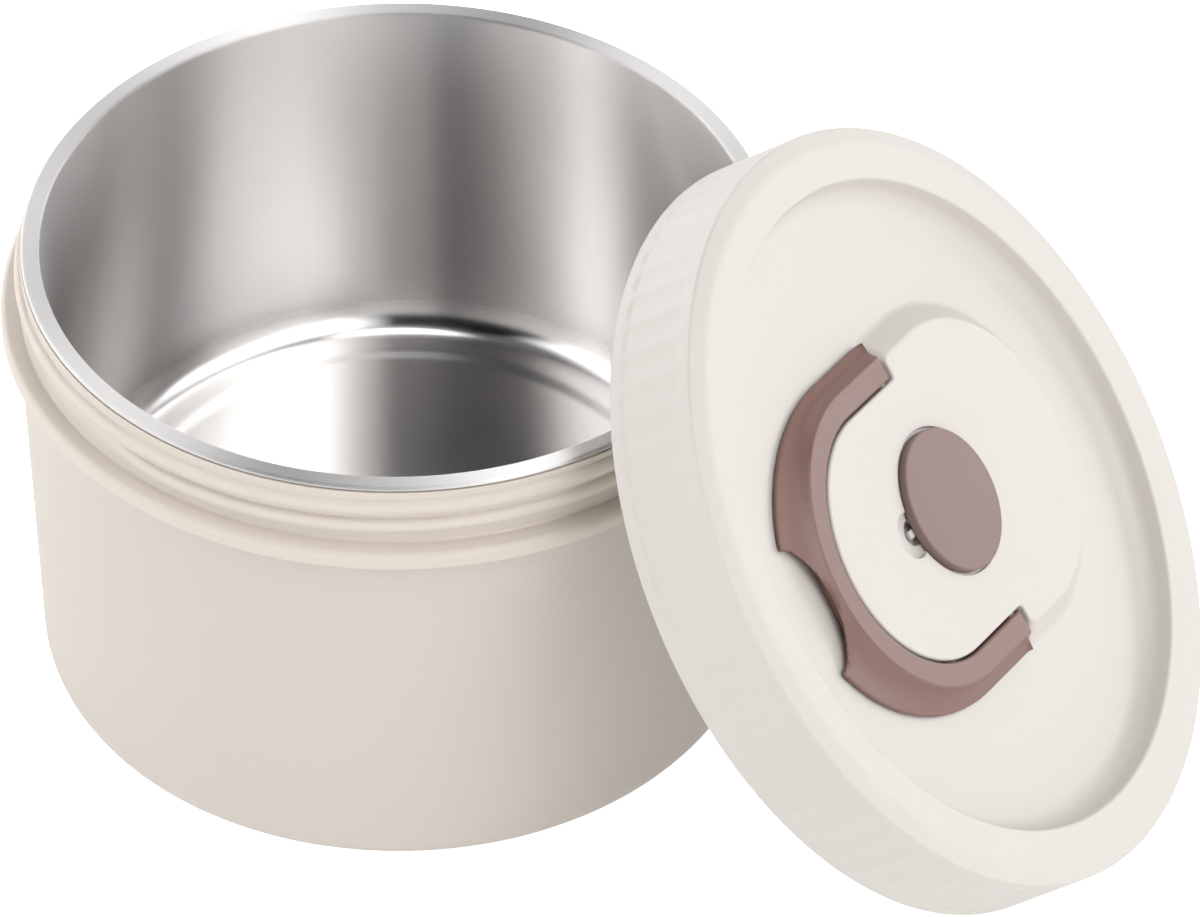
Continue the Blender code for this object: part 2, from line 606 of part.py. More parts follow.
def make_vent_cap(material, frame):
    """Silicone disc over the vent, hollow below for the stem's head."""
    top = ISLAND_TOP + VENT_CAP_STAND
    bottom = VENT_SEAT + CLEARANCE
    pocket_radius = VENT_HEAD_RADIUS + CLEARANCE
    pocket_top = bottom + VENT_HEAD_HEIGHT + CLEARANCE
    profile = [(0.0, top)]
    profile += arc(VENT_CAP_RADIUS - VENT_CAP_ROUND, top - VENT_CAP_ROUND, VENT_CAP_ROUND, 90, 0, 3)
    profile += [(VENT_CAP_RADIUS, bottom), (pocket_radius, bottom)]
    profile += [(pocket_radius, pocket_top), (0.0, pocket_top)]
    return finish(turned("vent_cap", profile), material, frame)


def make_vent_stem(material, frame):
    """Stem that carries the cap: head, shaft, barb below the liner and a tab for a fingernail."""
    head_bottom = VENT_SEAT + CLEARANCE
    head_top = head_bottom + VENT_HEAD_HEIGHT
    barb_top = WELL_TOP - VENT_TRAVEL - CLEARANCE
    profile = [(0.0, head_top), (VENT_HEAD_RADIUS, head_top), (VENT_HEAD_RADIUS, head_bottom)]
    profile += [(VENT_STEM_RADIUS, head_bottom), (VENT_STEM_RADIUS, barb_top), (VENT_BARB_RADIUS, barb_top)]
    profile += [(VENT_STEM_RADIUS / 2, barb_top - VENT_BARB_HEIGHT), (0.0, barb_top - VENT_BARB_HEIGHT)]
    stem = turned("vent_stem", profile, segments=TOOL_SEGMENTS)
    stem.parent = frame
    tab_start = VENT_STEM_RADIUS / 2
    tab_size = (TAB_LENGTH - tab_start, TAB_WIDTH, TAB_HEIGHT)
    tab_place = ((TAB_LENGTH + tab_start) / 2, 0.0, VENT_SEAT - TAB_HEIGHT / 2)
    combine(stem, block("nail_tab", tab_size, tab_place), "UNION")
    return finish(stem, material, frame)


steel = principled("satin_steel", (0.62, 0.61, 0.60), 0.3, 1.0)
cream = principled("cream_plastic", (0.83, 0.79, 0.73), 0.45)
beige = principled("beige_coating", (0.72, 0.67, 0.61), 0.55)
mauve = principled("mauve_plastic", (0.29, 0.19, 0.17), 0.5)
mauve_silicone = principled("mauve_silicone", (0.42, 0.29, 0.28), 0.6)
white_plastic = principled("white_plastic", (0.85, 0.84, 0.82), 0.4)
white_silicone = principled("white_silicone", (0.80, 0.79, 0.77), 0.6)
foam = principled("foam", (0.88, 0.86, 0.78), 0.9)

make_bowl(steel)
make_shell(beige)
make_body_insulation(foam)
make_rim_seal(white_silicone)
make_collar(cream)

lid_frame = lean_frame()
make_lid_cover(cream, lid_frame)
make_lid_liner(white_plastic, lid_frame)
make_lid_insulation(foam, lid_frame)
make_sealing_ring(white_silicone, lid_frame)

handle_hinge = bpy.data.objects.new("handle_hinge", None)
parts.objects.link(handle_hinge)
handle_hinge.parent = lid_frame
handle_hinge.location = (PIVOT_OFFSET, 0.0, PIVOT_HEIGHT)
make_handle(mauve, handle_hinge)
make_hinge_pin("hinge_pin_left", 1, steel, lid_frame)
make_hinge_pin("hinge_pin_right", -1, steel, lid_frame)
make_vent_cap(mauve_silicone, lid_frame)
make_vent_stem(white_plastic, lid_frame)

bpy.context.view_layer.update()
lid_axis = lid_frame.matrix_world.to_3x3().col[2]
hinge_axis = lid_frame.matrix_world.to_3x3().col[1]
print("lid centre", [round(v, 6) for v in lid_frame.matrix_world.translation])
print("lid axis", [round(v, 6) for v in lid_axis])
print("handle hinge", [round(v, 6) for v in handle_hinge.matrix_world.translation])
print("handle hinge axis", [round(v, 6) for v in hinge_axis])
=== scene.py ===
# %% [markdown]
# # An insulated food container with its lid off
#
# The object is a steel bowl inside a coated shell, with a threaded plastic collar between them.
# The screw lid leans on the rim and carries a folding handle and a small vent disc.
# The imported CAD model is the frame: it says where each piece is and what moves.
# This lesson gives every visible piece its fine shape and its finish, then sets the studio.

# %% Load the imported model
import json
import math

import bmesh
import bpy
import numpy as np
from mathutils import Matrix, Vector


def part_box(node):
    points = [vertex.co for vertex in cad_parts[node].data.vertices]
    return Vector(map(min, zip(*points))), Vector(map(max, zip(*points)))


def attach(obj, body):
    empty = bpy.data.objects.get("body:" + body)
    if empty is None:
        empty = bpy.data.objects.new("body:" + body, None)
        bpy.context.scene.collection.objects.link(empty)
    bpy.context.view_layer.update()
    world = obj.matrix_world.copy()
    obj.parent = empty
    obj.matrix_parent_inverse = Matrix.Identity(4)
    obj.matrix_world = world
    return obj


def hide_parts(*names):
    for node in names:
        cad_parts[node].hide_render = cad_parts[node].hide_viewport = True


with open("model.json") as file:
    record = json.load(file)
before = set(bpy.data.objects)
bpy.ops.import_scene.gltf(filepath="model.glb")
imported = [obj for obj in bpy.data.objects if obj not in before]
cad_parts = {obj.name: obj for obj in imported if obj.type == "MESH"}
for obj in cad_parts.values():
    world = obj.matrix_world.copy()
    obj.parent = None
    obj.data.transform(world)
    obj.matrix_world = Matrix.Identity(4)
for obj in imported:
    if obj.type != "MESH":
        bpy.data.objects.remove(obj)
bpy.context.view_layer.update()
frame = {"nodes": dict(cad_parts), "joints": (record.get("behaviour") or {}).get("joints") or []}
nodes = frame["nodes"]
joints = {joint["name"]: joint for joint in frame["joints"]}
print("CAD nodes:", len(nodes), "joints:", list(joints))

# %% [markdown]
# ## The camera
#
# A long lens far away keeps the ellipses of rim and lid almost free of perspective, as in the
# product photograph. The camera comes first, because every later choice is judged through it.

# %% Camera
CAMERA_PLACE = (0.03754, -1.9121, 1.70622)
CAMERA_PITCH = math.radians(48.96)
CAMERA_LENS = 404.07
CAMERA_SENSOR = 36.0

bpy.ops.object.select_all(action="DESELECT")
bpy.ops.object.camera_add(location=CAMERA_PLACE, rotation=(CAMERA_PITCH, 0.0, 0.0))
camera = bpy.context.object
camera.data.sensor_width = CAMERA_SENSOR
camera.data.lens = CAMERA_LENS
bpy.context.scene.camera = camera
print("camera", [round(v, 3) for v in camera.location], "lens", CAMERA_LENS)

# %% [markdown]
# ## Turning a profile
#
# Bowl, shell, collar, lid and vent are all round parts, spun from sheet or moulded.
# A lathe modifier would do, but here the profile is drawn as by hand: a plane is merged to one
# vertex, the vertex is extruded along the profile, and the line is spun round the Z axis.
# Corners are given as (radius, height, rounding), so each edge gets its own small round.

# %% Profile helpers
ARC_STEPS = 8
TURN_STEPS = 240
MERGE_DISTANCE = 1e-6


def outline(corners, arc_steps=ARC_STEPS):
    """Points of a profile through corners of (radius, height, rounding)."""
    points = []
    for i, (radius, height, rounding) in enumerate(corners):
        corner = Vector((radius, height))
        if rounding == 0.0 or i in (0, len(corners) - 1):
            points.append(corner)
            continue
        back = (Vector(corners[i - 1][:2]) - corner).normalized()
        ahead = (Vector(corners[i + 1][:2]) - corner).normalized()
        half = back.angle(ahead) / 2
        centre = corner + (back + ahead).normalized() * rounding / math.sin(half)
        spoke = corner + back * rounding / math.tan(half) - centre
        sweep = math.copysign(math.pi - 2 * half, -back.cross(ahead))
        turns = [Matrix.Rotation(sweep * k / arc_steps, 2) for k in range(arc_steps + 1)]
        points += [centre + turned @ spoke for turned in turns]
    return points


def rows(radius, start, end, spacing):
    """Plain corners along an upright stretch, for a surface that is shaped later."""
    count = max(1, round(abs(end - start) / spacing))
    return [(radius, start + (end - start) * k / count, 0.0) for k in range(count + 1)]


def turn(name, profile, steps=TURN_STEPS):
    """Draw a profile by extruding a vertex, and spin it round Z."""
    bpy.ops.object.select_all(action="DESELECT")
    bpy.ops.mesh.primitive_plane_add(size=MERGE_DISTANCE, enter_editmode=True, location=(0, 0, 0))
    bpy.ops.mesh.select_all(action="SELECT")
    bpy.ops.mesh.merge(type="CENTER")
    places = [Vector((point.x, 0.0, point.y)) for point in profile]
    bpy.ops.transform.translate(value=places[0])
    for here, there in zip(places, places[1:]):
        bpy.ops.mesh.extrude_vertices_move(TRANSFORM_OT_translate={"value": there - here})
    bpy.ops.mesh.select_all(action="SELECT")
    bpy.ops.mesh.spin(steps=steps, angle=2 * math.pi, center=(0, 0, 0), axis=(0, 0, 1))
    close_mesh()
    piece = bpy.context.object
    piece.name = piece.data.name = name
    return piece


def close_mesh():
    """Merge doubled seams and poles, turn the faces outwards and leave edit mode."""
    bpy.ops.mesh.select_all(action="SELECT")
    bpy.ops.mesh.remove_doubles(threshold=MERGE_DISTANCE)
    bpy.ops.mesh.normals_make_consistent(inside=False)
    bpy.ops.object.mode_set(mode="OBJECT")


# %% [markdown]
# ## Finishing a piece
#
# Every piece ends the same way. It is shaded smooth except at real edges, and a Weighted Normal
# modifier keeps wide flats flat beside their narrow rounds. Then it is put on the body that
# carries it, and the CAD nodes that it stands for are hidden.

# %% Finishing helpers
SMOOTH_ANGLE = math.radians(40)


def pick(piece):
    """Make one piece the only selected and active object."""
    bpy.ops.object.select_all(action="DESELECT")
    piece.select_set(True)
    bpy.context.view_layer.objects.active = piece


def apply_modifier(piece, modifier):
    """Apply a modifier, so that the mesh itself has the shape."""
    pick(piece)
    bpy.ops.object.modifier_apply(modifier=modifier.name)


def smooth(piece):
    """Smooth shading with crisp real edges and flat flats."""
    pick(piece)
    bpy.ops.object.shade_smooth_by_angle(angle=SMOOTH_ANGLE)
    even = piece.modifiers.new("even_normals", "WEIGHTED_NORMAL")
    even.keep_sharp = True
    apply_modifier(piece, even)


def hand_over(piece, body, slot, *stands_for):
    """Finish a piece, put it on its body and hide the CAD nodes that it stands for."""
    smooth(piece)
    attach(piece, body)
    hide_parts(*stands_for)
    print(piece.name, "on", body, "-", len(piece.data.polygons), "faces")


def move_vertices(piece, rule):
    """Shape a mesh in code: the rule takes and gives the places as columns x, y, z."""
    places = np.empty(3 * len(piece.data.vertices), dtype=np.float32)
    piece.data.vertices.foreach_get("co", places)
    x, y, z = places.astype(float).reshape(-1, 3).T
    moved = np.stack(rule(x, y, z), axis=1).astype(np.float32)
    piece.data.vertices.foreach_set("co", moved.ravel())
    piece.data.update()


def ease(value, low, high):
    """A soft step from 0 at low to 1 at high."""
    share = np.clip((value - low) / (high - low), 0.0, 1.0)
    return share * share * (3.0 - 2.0 * share)


# %% [markdown]
# ## The steel bowl
#
# The bowl is spun from thin stainless sheet. Its floor has a shallow step, a generous round leads
# into the tapering wall, and the rim is folded flat outwards and ends in a bright rounded lip.
# The flat of the rim and the lip catch different light, so both are real geometry.

# %% Steel bowl
bowl_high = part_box("inner_bowl")[1]
RIM_RADIUS, RIM_HEIGHT = bowl_high.x, bowl_high.z
RIM_WIDTH = 0.0034
RIM_LIP_ROUND = 0.0006
RIM_THICKNESS = 0.0009
RIM_INNER_ROUND = 0.0005
EDGE_ROUND = 0.0002
SHEET = 0.0007
BOWL_FLOOR = 0.0230
BOWL_TAPER = 0.0051
BOWL_CORNER = 0.0065
STEP_RADIUS = 0.0510
STEP_SLOPE = 0.0024
STEP_DEPTH = 0.0006
STEP_ROUND = 0.0060

mouth = RIM_RADIUS - RIM_WIDTH
bowl_foot = mouth - BOWL_TAPER
bowl = turn("steel_bowl", outline([
    (0.0, BOWL_FLOOR - STEP_DEPTH, 0.0),
    (STEP_RADIUS, BOWL_FLOOR - STEP_DEPTH, STEP_ROUND),
    (STEP_RADIUS + STEP_SLOPE, BOWL_FLOOR, STEP_ROUND),
    (bowl_foot, BOWL_FLOOR, BOWL_CORNER),
    (mouth, RIM_HEIGHT, RIM_INNER_ROUND),
    (RIM_RADIUS, RIM_HEIGHT, RIM_LIP_ROUND),
    (RIM_RADIUS, RIM_HEIGHT - RIM_THICKNESS, EDGE_ROUND),
    (mouth + SHEET, RIM_HEIGHT - RIM_THICKNESS, EDGE_ROUND),
    (bowl_foot + SHEET, BOWL_FLOOR - SHEET, BOWL_CORNER + SHEET),
    (STEP_RADIUS + STEP_SLOPE, BOWL_FLOOR - SHEET, STEP_ROUND),
    (STEP_RADIUS, BOWL_FLOOR - SHEET - STEP_DEPTH, STEP_ROUND),
    (0.0, BOWL_FLOOR - SHEET - STEP_DEPTH, 0.0),
]))
hand_over(bowl, "container", "steel", "inner_bowl")

# %% [markdown]
# ## The coated shell
#
# The outer wall is a deep-drawn cup that narrows towards the table, with a soft bottom corner.
# It could be a cone with a bevel, but a turned profile gives the inside and the sheet as well.

# %% Coated shell
shell_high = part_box("outer_shell")[1]
SHELL_RADIUS, SHELL_TOP = shell_high.x, shell_high.z
SHELL_TAPER = 0.0033
SHELL_SHEET = 0.0008
SHELL_CORNER = 0.0070

shell_foot = SHELL_RADIUS - SHELL_TAPER
shell = turn("coated_shell", outline([
    (0.0, 0.0, 0.0),
    (shell_foot, 0.0, SHELL_CORNER),
    (SHELL_RADIUS, SHELL_TOP, EDGE_ROUND),
    (SHELL_RADIUS - SHELL_SHEET, SHELL_TOP, EDGE_ROUND),
    (shell_foot - SHELL_SHEET, SHELL_SHEET, SHELL_CORNER - SHELL_SHEET),
    (0.0, SHELL_SHEET, 0.0),
], arc_steps=16))
hand_over(shell, "container", "beige_coating", "outer_shell")

# %% [markdown]
# ## The threaded collar
#
# The collar is one plastic moulding: a neck with a screw thread, a shoulder flange that covers the
# shell's edge, and a spigot inside the shell. The thread could be a swept ridge, but a moulded
# one grows out of the neck and fades away at both ends. So the neck is turned with fine rows, and
# the ridge is pushed out of them in code, because no operator follows a helix.

# %% Thread helper
THREAD_PITCH = 0.0042
THREAD_TURNS = 1.4
THREAD_LAPS = 3
THREAD_DEPTH = 0.0012
THREAD_HALF = 0.00155
THREAD_FADE = math.radians(14)
ROW_SPACING = 0.00018


def thread_height(angle, height, start, rise):
    """How far a helical ridge stands at a place on a neck, from 0 to 1."""
    ridge = np.zeros_like(height)
    sweep = 2 * math.pi * THREAD_TURNS
    for lap in range(THREAD_LAPS):
        along = np.mod(angle - start, 2 * math.pi) + 2 * math.pi * lap
        offset = np.abs(height - rise - THREAD_PITCH * along / (2 * math.pi))
        section = np.sqrt(np.clip(1.0 - (offset / THREAD_HALF) ** 2, 0.0, 1.0))
        ends = ease(along, 0.0, THREAD_FADE) * ease(sweep - along, 0.0, THREAD_FADE)
        ridge = np.maximum(ridge, section * ends)
    return ridge


# %% Threaded collar
collar_low, collar_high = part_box("neck_collar")
FLANGE_RADIUS, COLLAR_TOP, COLLAR_BOTTOM = collar_high.x, collar_high.z, collar_low.z
NECK_RADIUS = RIM_RADIUS + 0.0002
NECK_INSIDE = 0.0676
NECK_TOP = RIM_HEIGHT - RIM_THICKNESS - 0.0003
FLANGE_TOP = RIM_HEIGHT - 0.0132
FLANGE_FALL = 0.0005
FLANGE_BOTTOM = RIM_HEIGHT - 0.0165
FLANGE_ROUND = 0.0014
FLANGE_FOOT_ROUND = 0.0006
NECK_FILLET = 0.0006
SPIGOT_TOP_RADIUS = 0.0699
SPIGOT_FOOT_RADIUS = 0.0695
SPIGOT_WALL = 0.0014
NECK_THREAD_START = math.radians(-140)
NECK_THREAD_RISE = RIM_HEIGHT - 0.0093
NECK_ROWS_TOP = NECK_TOP - 0.0005
NECK_ROWS_FOOT = FLANGE_TOP + 0.0013

neck_rows = rows(NECK_RADIUS, NECK_ROWS_TOP, NECK_ROWS_FOOT, ROW_SPACING)
collar = turn("threaded_collar", outline([
    (NECK_INSIDE + SPIGOT_WALL, COLLAR_TOP, 0.0),
    (NECK_INSIDE + SPIGOT_WALL, NECK_TOP, EDGE_ROUND),
    (NECK_RADIUS, NECK_TOP, EDGE_ROUND),
    *neck_rows,
    (NECK_RADIUS, FLANGE_TOP + FLANGE_FALL, NECK_FILLET),
    (FLANGE_RADIUS, FLANGE_TOP, FLANGE_ROUND),
    (FLANGE_RADIUS, FLANGE_BOTTOM, FLANGE_FOOT_ROUND),
    (SPIGOT_TOP_RADIUS, FLANGE_BOTTOM, EDGE_ROUND),
    (SPIGOT_FOOT_RADIUS, COLLAR_BOTTOM, EDGE_ROUND),
    (SPIGOT_FOOT_RADIUS - SPIGOT_WALL, COLLAR_BOTTOM, EDGE_ROUND),
    (NECK_INSIDE, FLANGE_BOTTOM, 0.0),
    (NECK_INSIDE, COLLAR_TOP, EDGE_ROUND),
    (NECK_INSIDE + SPIGOT_WALL, COLLAR_TOP, 0.0),
]))


def raise_neck_thread(x, y, z):
    """Push the neck's rows out along the helix."""
    radius = np.hypot(x, y)
    on_neck = (np.abs(radius - NECK_RADIUS) < EDGE_ROUND / 2) & (z > FLANGE_TOP + FLANGE_FALL)
    ridge = thread_height(np.arctan2(y, x), z, NECK_THREAD_START, NECK_THREAD_RISE)
    grown = 1.0 + np.where(on_neck, THREAD_DEPTH * ridge, 0.0) / np.maximum(radius, MERGE_DISTANCE)
    return x * grown, y * grown, z


move_vertices(collar, raise_neck_thread)
hand_over(collar, "container", "cream_plastic", "neck_collar")

# %% [markdown]
# ## The lid's own frame
#
# The lid leans, so its pieces are modelled level, with the lid's axis along Z and the skirt's edge
# at height 0, and then laid on the real lid. The frame comes from the joints: the lid turns about
# its axis, and the handle folds about a line across it.

# %% Lid frame
lid_up = Vector(joints["lid_turn"]["axis"]).normalized()
lid_across = -Vector(joints["handle_fold"]["axis"])
lid_along = lid_across.cross(lid_up).normalized()
lid_across = lid_up.cross(lid_along)
lid_axes = Matrix((lid_along, lid_across, lid_up)).transposed().to_4x4()
LID = Matrix.Translation(joints["lid_turn"]["pos_m"]) @ lid_axes
HINGE = LID.inverted() @ Vector(joints["handle_fold"]["pos_m"])


def lean(piece, aside=Vector((0.0, 0.0, 0.0))):
    """Lay a piece that was modelled level on the leaning lid, with its place in its mesh."""
    piece.matrix_world = LID @ Matrix.Translation(aside)
    pick(piece)
    bpy.ops.object.transform_apply(location=True, rotation=True, scale=True)
    return piece


cover = [LID.inverted() @ vertex.co for vertex in nodes["lid_cover"].data.vertices]
LID_RADIUS = max(place.xy.length for place in cover)
LID_HEIGHT = max(place.z for place in cover)
print(f"lid radius {LID_RADIUS:.4f} height {LID_HEIGHT:.4f} hinge {[round(v, 5) for v in HINGE]}")

# %% [markdown]
# ## The lid's shell
#
# The lid is a moulded disc with a raised ring, a sunk floor and a skirt that the hand grips.
# The ring falls a little towards its rim, which ends in a crisp edge that catches the light.
# The grip is a row of very shallow flutes, each ending in a soft arch above a plain edge.
# Cutting every flute by hand would leave hard borders, so the skirt is turned with several
# columns for each flute, and the columns are pressed in by a formula. The screw thread
# inside the skirt is raised in the same way as the collar's.

# %% Lid shell
FLUTES = 68
FLUTE_COLUMNS = 8
FLUTE_DEPTH = 0.00040
FLUTE_FOOT = 0.0022
FLUTE_ARCH = 0.0014
FLUTE_FOOT_FADE = 0.0012
FLUTE_HEAD = LID_HEIGHT - 0.0022
FLUTE_HEAD_FADE = 0.0024
CROWN_WIDTH = 0.0036
CROWN_FALL = 0.0011
CROWN_ROUND = 0.0060
LID_EDGE_ROUND = 0.0006
LID_FOOT_ROUND = 0.0005
SKIRT_INSIDE = LID_RADIUS - 0.0016
RING_INSIDE = LID_RADIUS - 0.0104
RING_ROUND = 0.0006
RECESS_FLOOR = LID_HEIGHT - 0.0051
RECESS_FOOT = RING_INSIDE - 0.0015
RECESS_FILLET = 0.0042
TOP_WALL = 0.0020
COVER_UNDERSIDE = RECESS_FLOOR - TOP_WALL
RING_UNDERSIDE = LID_HEIGHT - TOP_WALL
LINER_LEDGE = 0.0147
LEDGE_RADIUS = SKIRT_INSIDE - 0.0016
SLOPE_FOOT = RING_INSIDE - TOP_WALL
VENT_BORE = 0.0035
LID_THREAD_START = math.radians(20)
LID_THREAD_RISE = 0.0022
HEAD_SPACING = 0.0006
GRIP_TOP = FLUTE_FOOT + 0.0034
GRIP_FOOT = FLUTE_FOOT - 0.0004
GRIP_SPACING = 0.0003
SCREW_FOOT = 0.0008
SCREW_TOP = 0.0092
SCREW_SPACING = 0.00025

head_rows = rows(LID_RADIUS, FLUTE_HEAD, FLUTE_HEAD - FLUTE_HEAD_FADE, HEAD_SPACING)
grip_rows = rows(LID_RADIUS, GRIP_TOP, GRIP_FOOT, GRIP_SPACING)
screw_rows = rows(SKIRT_INSIDE, SCREW_FOOT, SCREW_TOP, SCREW_SPACING)
lid_shell = turn("lid_shell", outline([
    (VENT_BORE, RECESS_FLOOR - TOP_WALL / 2, 0.0),
    (VENT_BORE, RECESS_FLOOR, 0.0),
    (RECESS_FOOT, RECESS_FLOOR, RECESS_FILLET),
    (RING_INSIDE, LID_HEIGHT, RING_ROUND),
    (LID_RADIUS - CROWN_WIDTH, LID_HEIGHT, CROWN_ROUND),
    (LID_RADIUS, LID_HEIGHT - CROWN_FALL, LID_EDGE_ROUND),
    *head_rows,
    *grip_rows,
    (LID_RADIUS, 0.0, LID_FOOT_ROUND),
    (SKIRT_INSIDE, 0.0, EDGE_ROUND),
    *screw_rows,
    (SKIRT_INSIDE, LINER_LEDGE, EDGE_ROUND),
    (LEDGE_RADIUS, LINER_LEDGE, EDGE_ROUND),
    (LEDGE_RADIUS, RING_UNDERSIDE, RING_ROUND),
    (RING_INSIDE + TOP_WALL, RING_UNDERSIDE, RING_ROUND),
    (SLOPE_FOOT, COVER_UNDERSIDE, RING_ROUND),
    (VENT_BORE, COVER_UNDERSIDE, 0.0),
    (VENT_BORE, RECESS_FLOOR - TOP_WALL / 2, 0.0),
]), steps=FLUTES * FLUTE_COLUMNS)


def press_flutes(x, y, z):
    """Press the grip's flutes into the skirt and raise the thread inside it."""
    radius, angle = np.hypot(x, y), np.arctan2(y, x)
    across = 2.0 * np.abs(np.mod(angle * FLUTES / (2 * math.pi), 1.0) - 0.5)
    foot = FLUTE_FOOT + FLUTE_ARCH * across**2
    run_out = ease(z, foot, foot + FLUTE_FOOT_FADE) * ease(FLUTE_HEAD - z, 0.0, FLUTE_HEAD_FADE)
    outside = radius > LID_RADIUS - EDGE_ROUND / 2
    pressed = np.where(outside, -FLUTE_DEPTH * (1.0 - across**2) * run_out, 0.0)
    inside = (np.abs(radius - SKIRT_INSIDE) < EDGE_ROUND / 2) & (z < LINER_LEDGE)
    ridge = thread_height(angle, z, LID_THREAD_START, LID_THREAD_RISE)
    raised = np.where(inside, -THREAD_DEPTH * ridge, 0.0)
    grown = 1.0 + (pressed + raised) / np.maximum(radius, MERGE_DISTANCE)
    return x * grown, y * grown, z


move_vertices(lid_shell, press_flutes)
hand_over(lean(lid_shell), "lid", "cream_plastic", "lid_cover")

# %% [markdown]
# ## Lofting from loop to loop
#
# The island on the lid and the handle are not round parts. Both are skins through a row of closed
# outlines. By hand one extrudes an edge loop and moves it to its next place, again and again,
# and the helper does the same: a circle with as many vertices as the outlines have points is
# moved to the first outline, then extruded and moved to each of the others.

# %% Loft helper
def loft(name, loops, capped):
    """A skin through loops of as many points each, capped at its ends or closed on itself."""
    count = len(loops[0])
    bpy.ops.object.select_all(action="DESELECT")
    bpy.ops.mesh.primitive_circle_add(vertices=count, enter_editmode=True, location=(0, 0, 0))
    piece = bpy.context.object
    order = list(range(count))
    for number, loop in enumerate(loops):
        if number:
            bpy.ops.mesh.extrude_edges_move(TRANSFORM_OT_translate={"value": (0, 0, 0)})
        body = bmesh.from_edit_mesh(piece.data)
        body.verts.ensure_lookup_table()
        body.verts.index_update()
        if number:
            order = [follower(body.verts[i], number * count) for i in order]
        for i, place in zip(order, loop):
            body.verts[i].co = place
        bmesh.update_edit_mesh(piece.data)
    if capped:
        bpy.ops.mesh.edge_face_add()
        body = bmesh.from_edit_mesh(piece.data)
        body.verts.ensure_lookup_table()
        bpy.ops.mesh.select_all(action="DESELECT")
        for i in range(count):
            body.verts[i].select_set(True)
        body.select_flush(True)
        bpy.ops.mesh.edge_face_add()
    close_mesh()
    piece.name = piece.data.name = name
    return piece


def follower(vertex, first_new):
    """Index of the vertex that an extrusion made from another."""
    others = (edge.other_vert(vertex).index for edge in vertex.link_edges)
    return next(i for i in others if i >= first_new)


def arc(centre, radius, start, end, steps):
    """Points on a round stretch without its last point, angles in degrees."""
    angles = [math.radians(start + (end - start) * k / steps) for k in range(steps)]
    turns = [(math.cos(angle), math.sin(angle)) for angle in angles]
    return [Vector((centre[0] + radius * c, centre[1] + radius * s)) for c, s in turns]


def straight(start, end, steps):
    """Points on a straight stretch without its last point."""
    return [Vector(start).lerp(Vector(end), k / steps) for k in range(steps)]


# %% [markdown]
# ## The island
#
# In the sunk floor stands an oval island, moulded in one with the lid. Its front half is a
# core with upright walls, which the folded handle wraps. Its back half is wider and slopes down
# to the floor, in line with the handle's outer slope, and ends in a rounded pocket beyond each
# arm of the handle. The vent disc sits in a shallow seat, with a nail notch on the handle's side.
# A stack of booleans would leave hard seams, so the island is one skin of loops that run up the
# walls, over the rounded edges, across the top and down into the seat.

# %% Island outlines
ISLAND_TOP = LID_HEIGHT - 0.0010
ISLAND_ROOT = RECESS_FLOOR - 0.0006
ISLAND_ASIDE = Vector((0.0, -0.0008, 0.0))
BACK_CENTRE = -0.0154
BOW_CENTRE = 0.0142
CORE_RADIUS = 0.0244
BACK_TOP_RADIUS = 0.0288
BACK_FOOT_RADIUS = 0.0330
POCKET_END = -0.0042
POCKET_INNER_ROUND = 0.0009
POCKET_OUTER_ROUND = 0.0020
CORE_EDGE_ROUND = 0.0005
BACK_EDGE_ROUND = 0.0012
BACK_FOOT_FILLET = 0.0024
TOP_MARGIN = 0.0030
TOP_SLANT = 40
FOOT_SINK = 0.00004
BOW_STEPS = 72
ARM_STEPS = 16
CORNER_STEPS = 8
END_STEPS = 8
SIDE_STEPS = 12


def island_loop(core_inset, back, front_height, back_height, slant=0):
    """One outline of the island, anticlockwise from the handle's side, its pocket ends slanted."""
    core, pocket = CORE_RADIUS - core_inset, POCKET_END - core_inset
    inner = POCKET_INNER_ROUND + core_inset
    outer = max(POCKET_OUTER_ROUND - core_inset, EDGE_ROUND)
    front = arc((BOW_CENTRE, 0), core, 0, 90, BOW_STEPS)
    front += straight((BOW_CENTRE, core), (pocket + inner, core), ARM_STEPS)
    front += arc((pocket + inner, core + inner), inner, 270, 180 + slant, CORNER_STEPS)
    aside, ahead = math.sin(math.radians(slant)), math.cos(math.radians(slant))
    end_start = Vector((pocket + inner - inner * ahead, core + inner - inner * aside))
    end_top = back - outer + outer * aside
    end_stop = Vector((end_start.x - (end_top - end_start.y) * aside / ahead, end_top))
    corner = end_stop.x - outer * ahead
    end = straight(end_start, end_stop, END_STEPS)
    rear = arc((corner, back - outer), outer, slant, 90, CORNER_STEPS)
    rear += straight((corner, back), (BACK_CENTRE, back), SIDE_STEPS)
    rear += arc((BACK_CENTRE, 0), back, 90, 180, BOW_STEPS)
    half = [place.to_3d() + Vector((0, 0, front_height)) for place in front]
    for k, place in enumerate(end):
        half.append(Vector((*place, front_height + (back_height - front_height) * k / END_STEPS)))
    half += [Vector((*place, back_height)) for place in rear]
    tail = Vector((BACK_CENTRE - back, 0.0, back_height))
    return half + [tail] + [Vector((p.x, -p.y, p.z)) for p in half[:0:-1]]


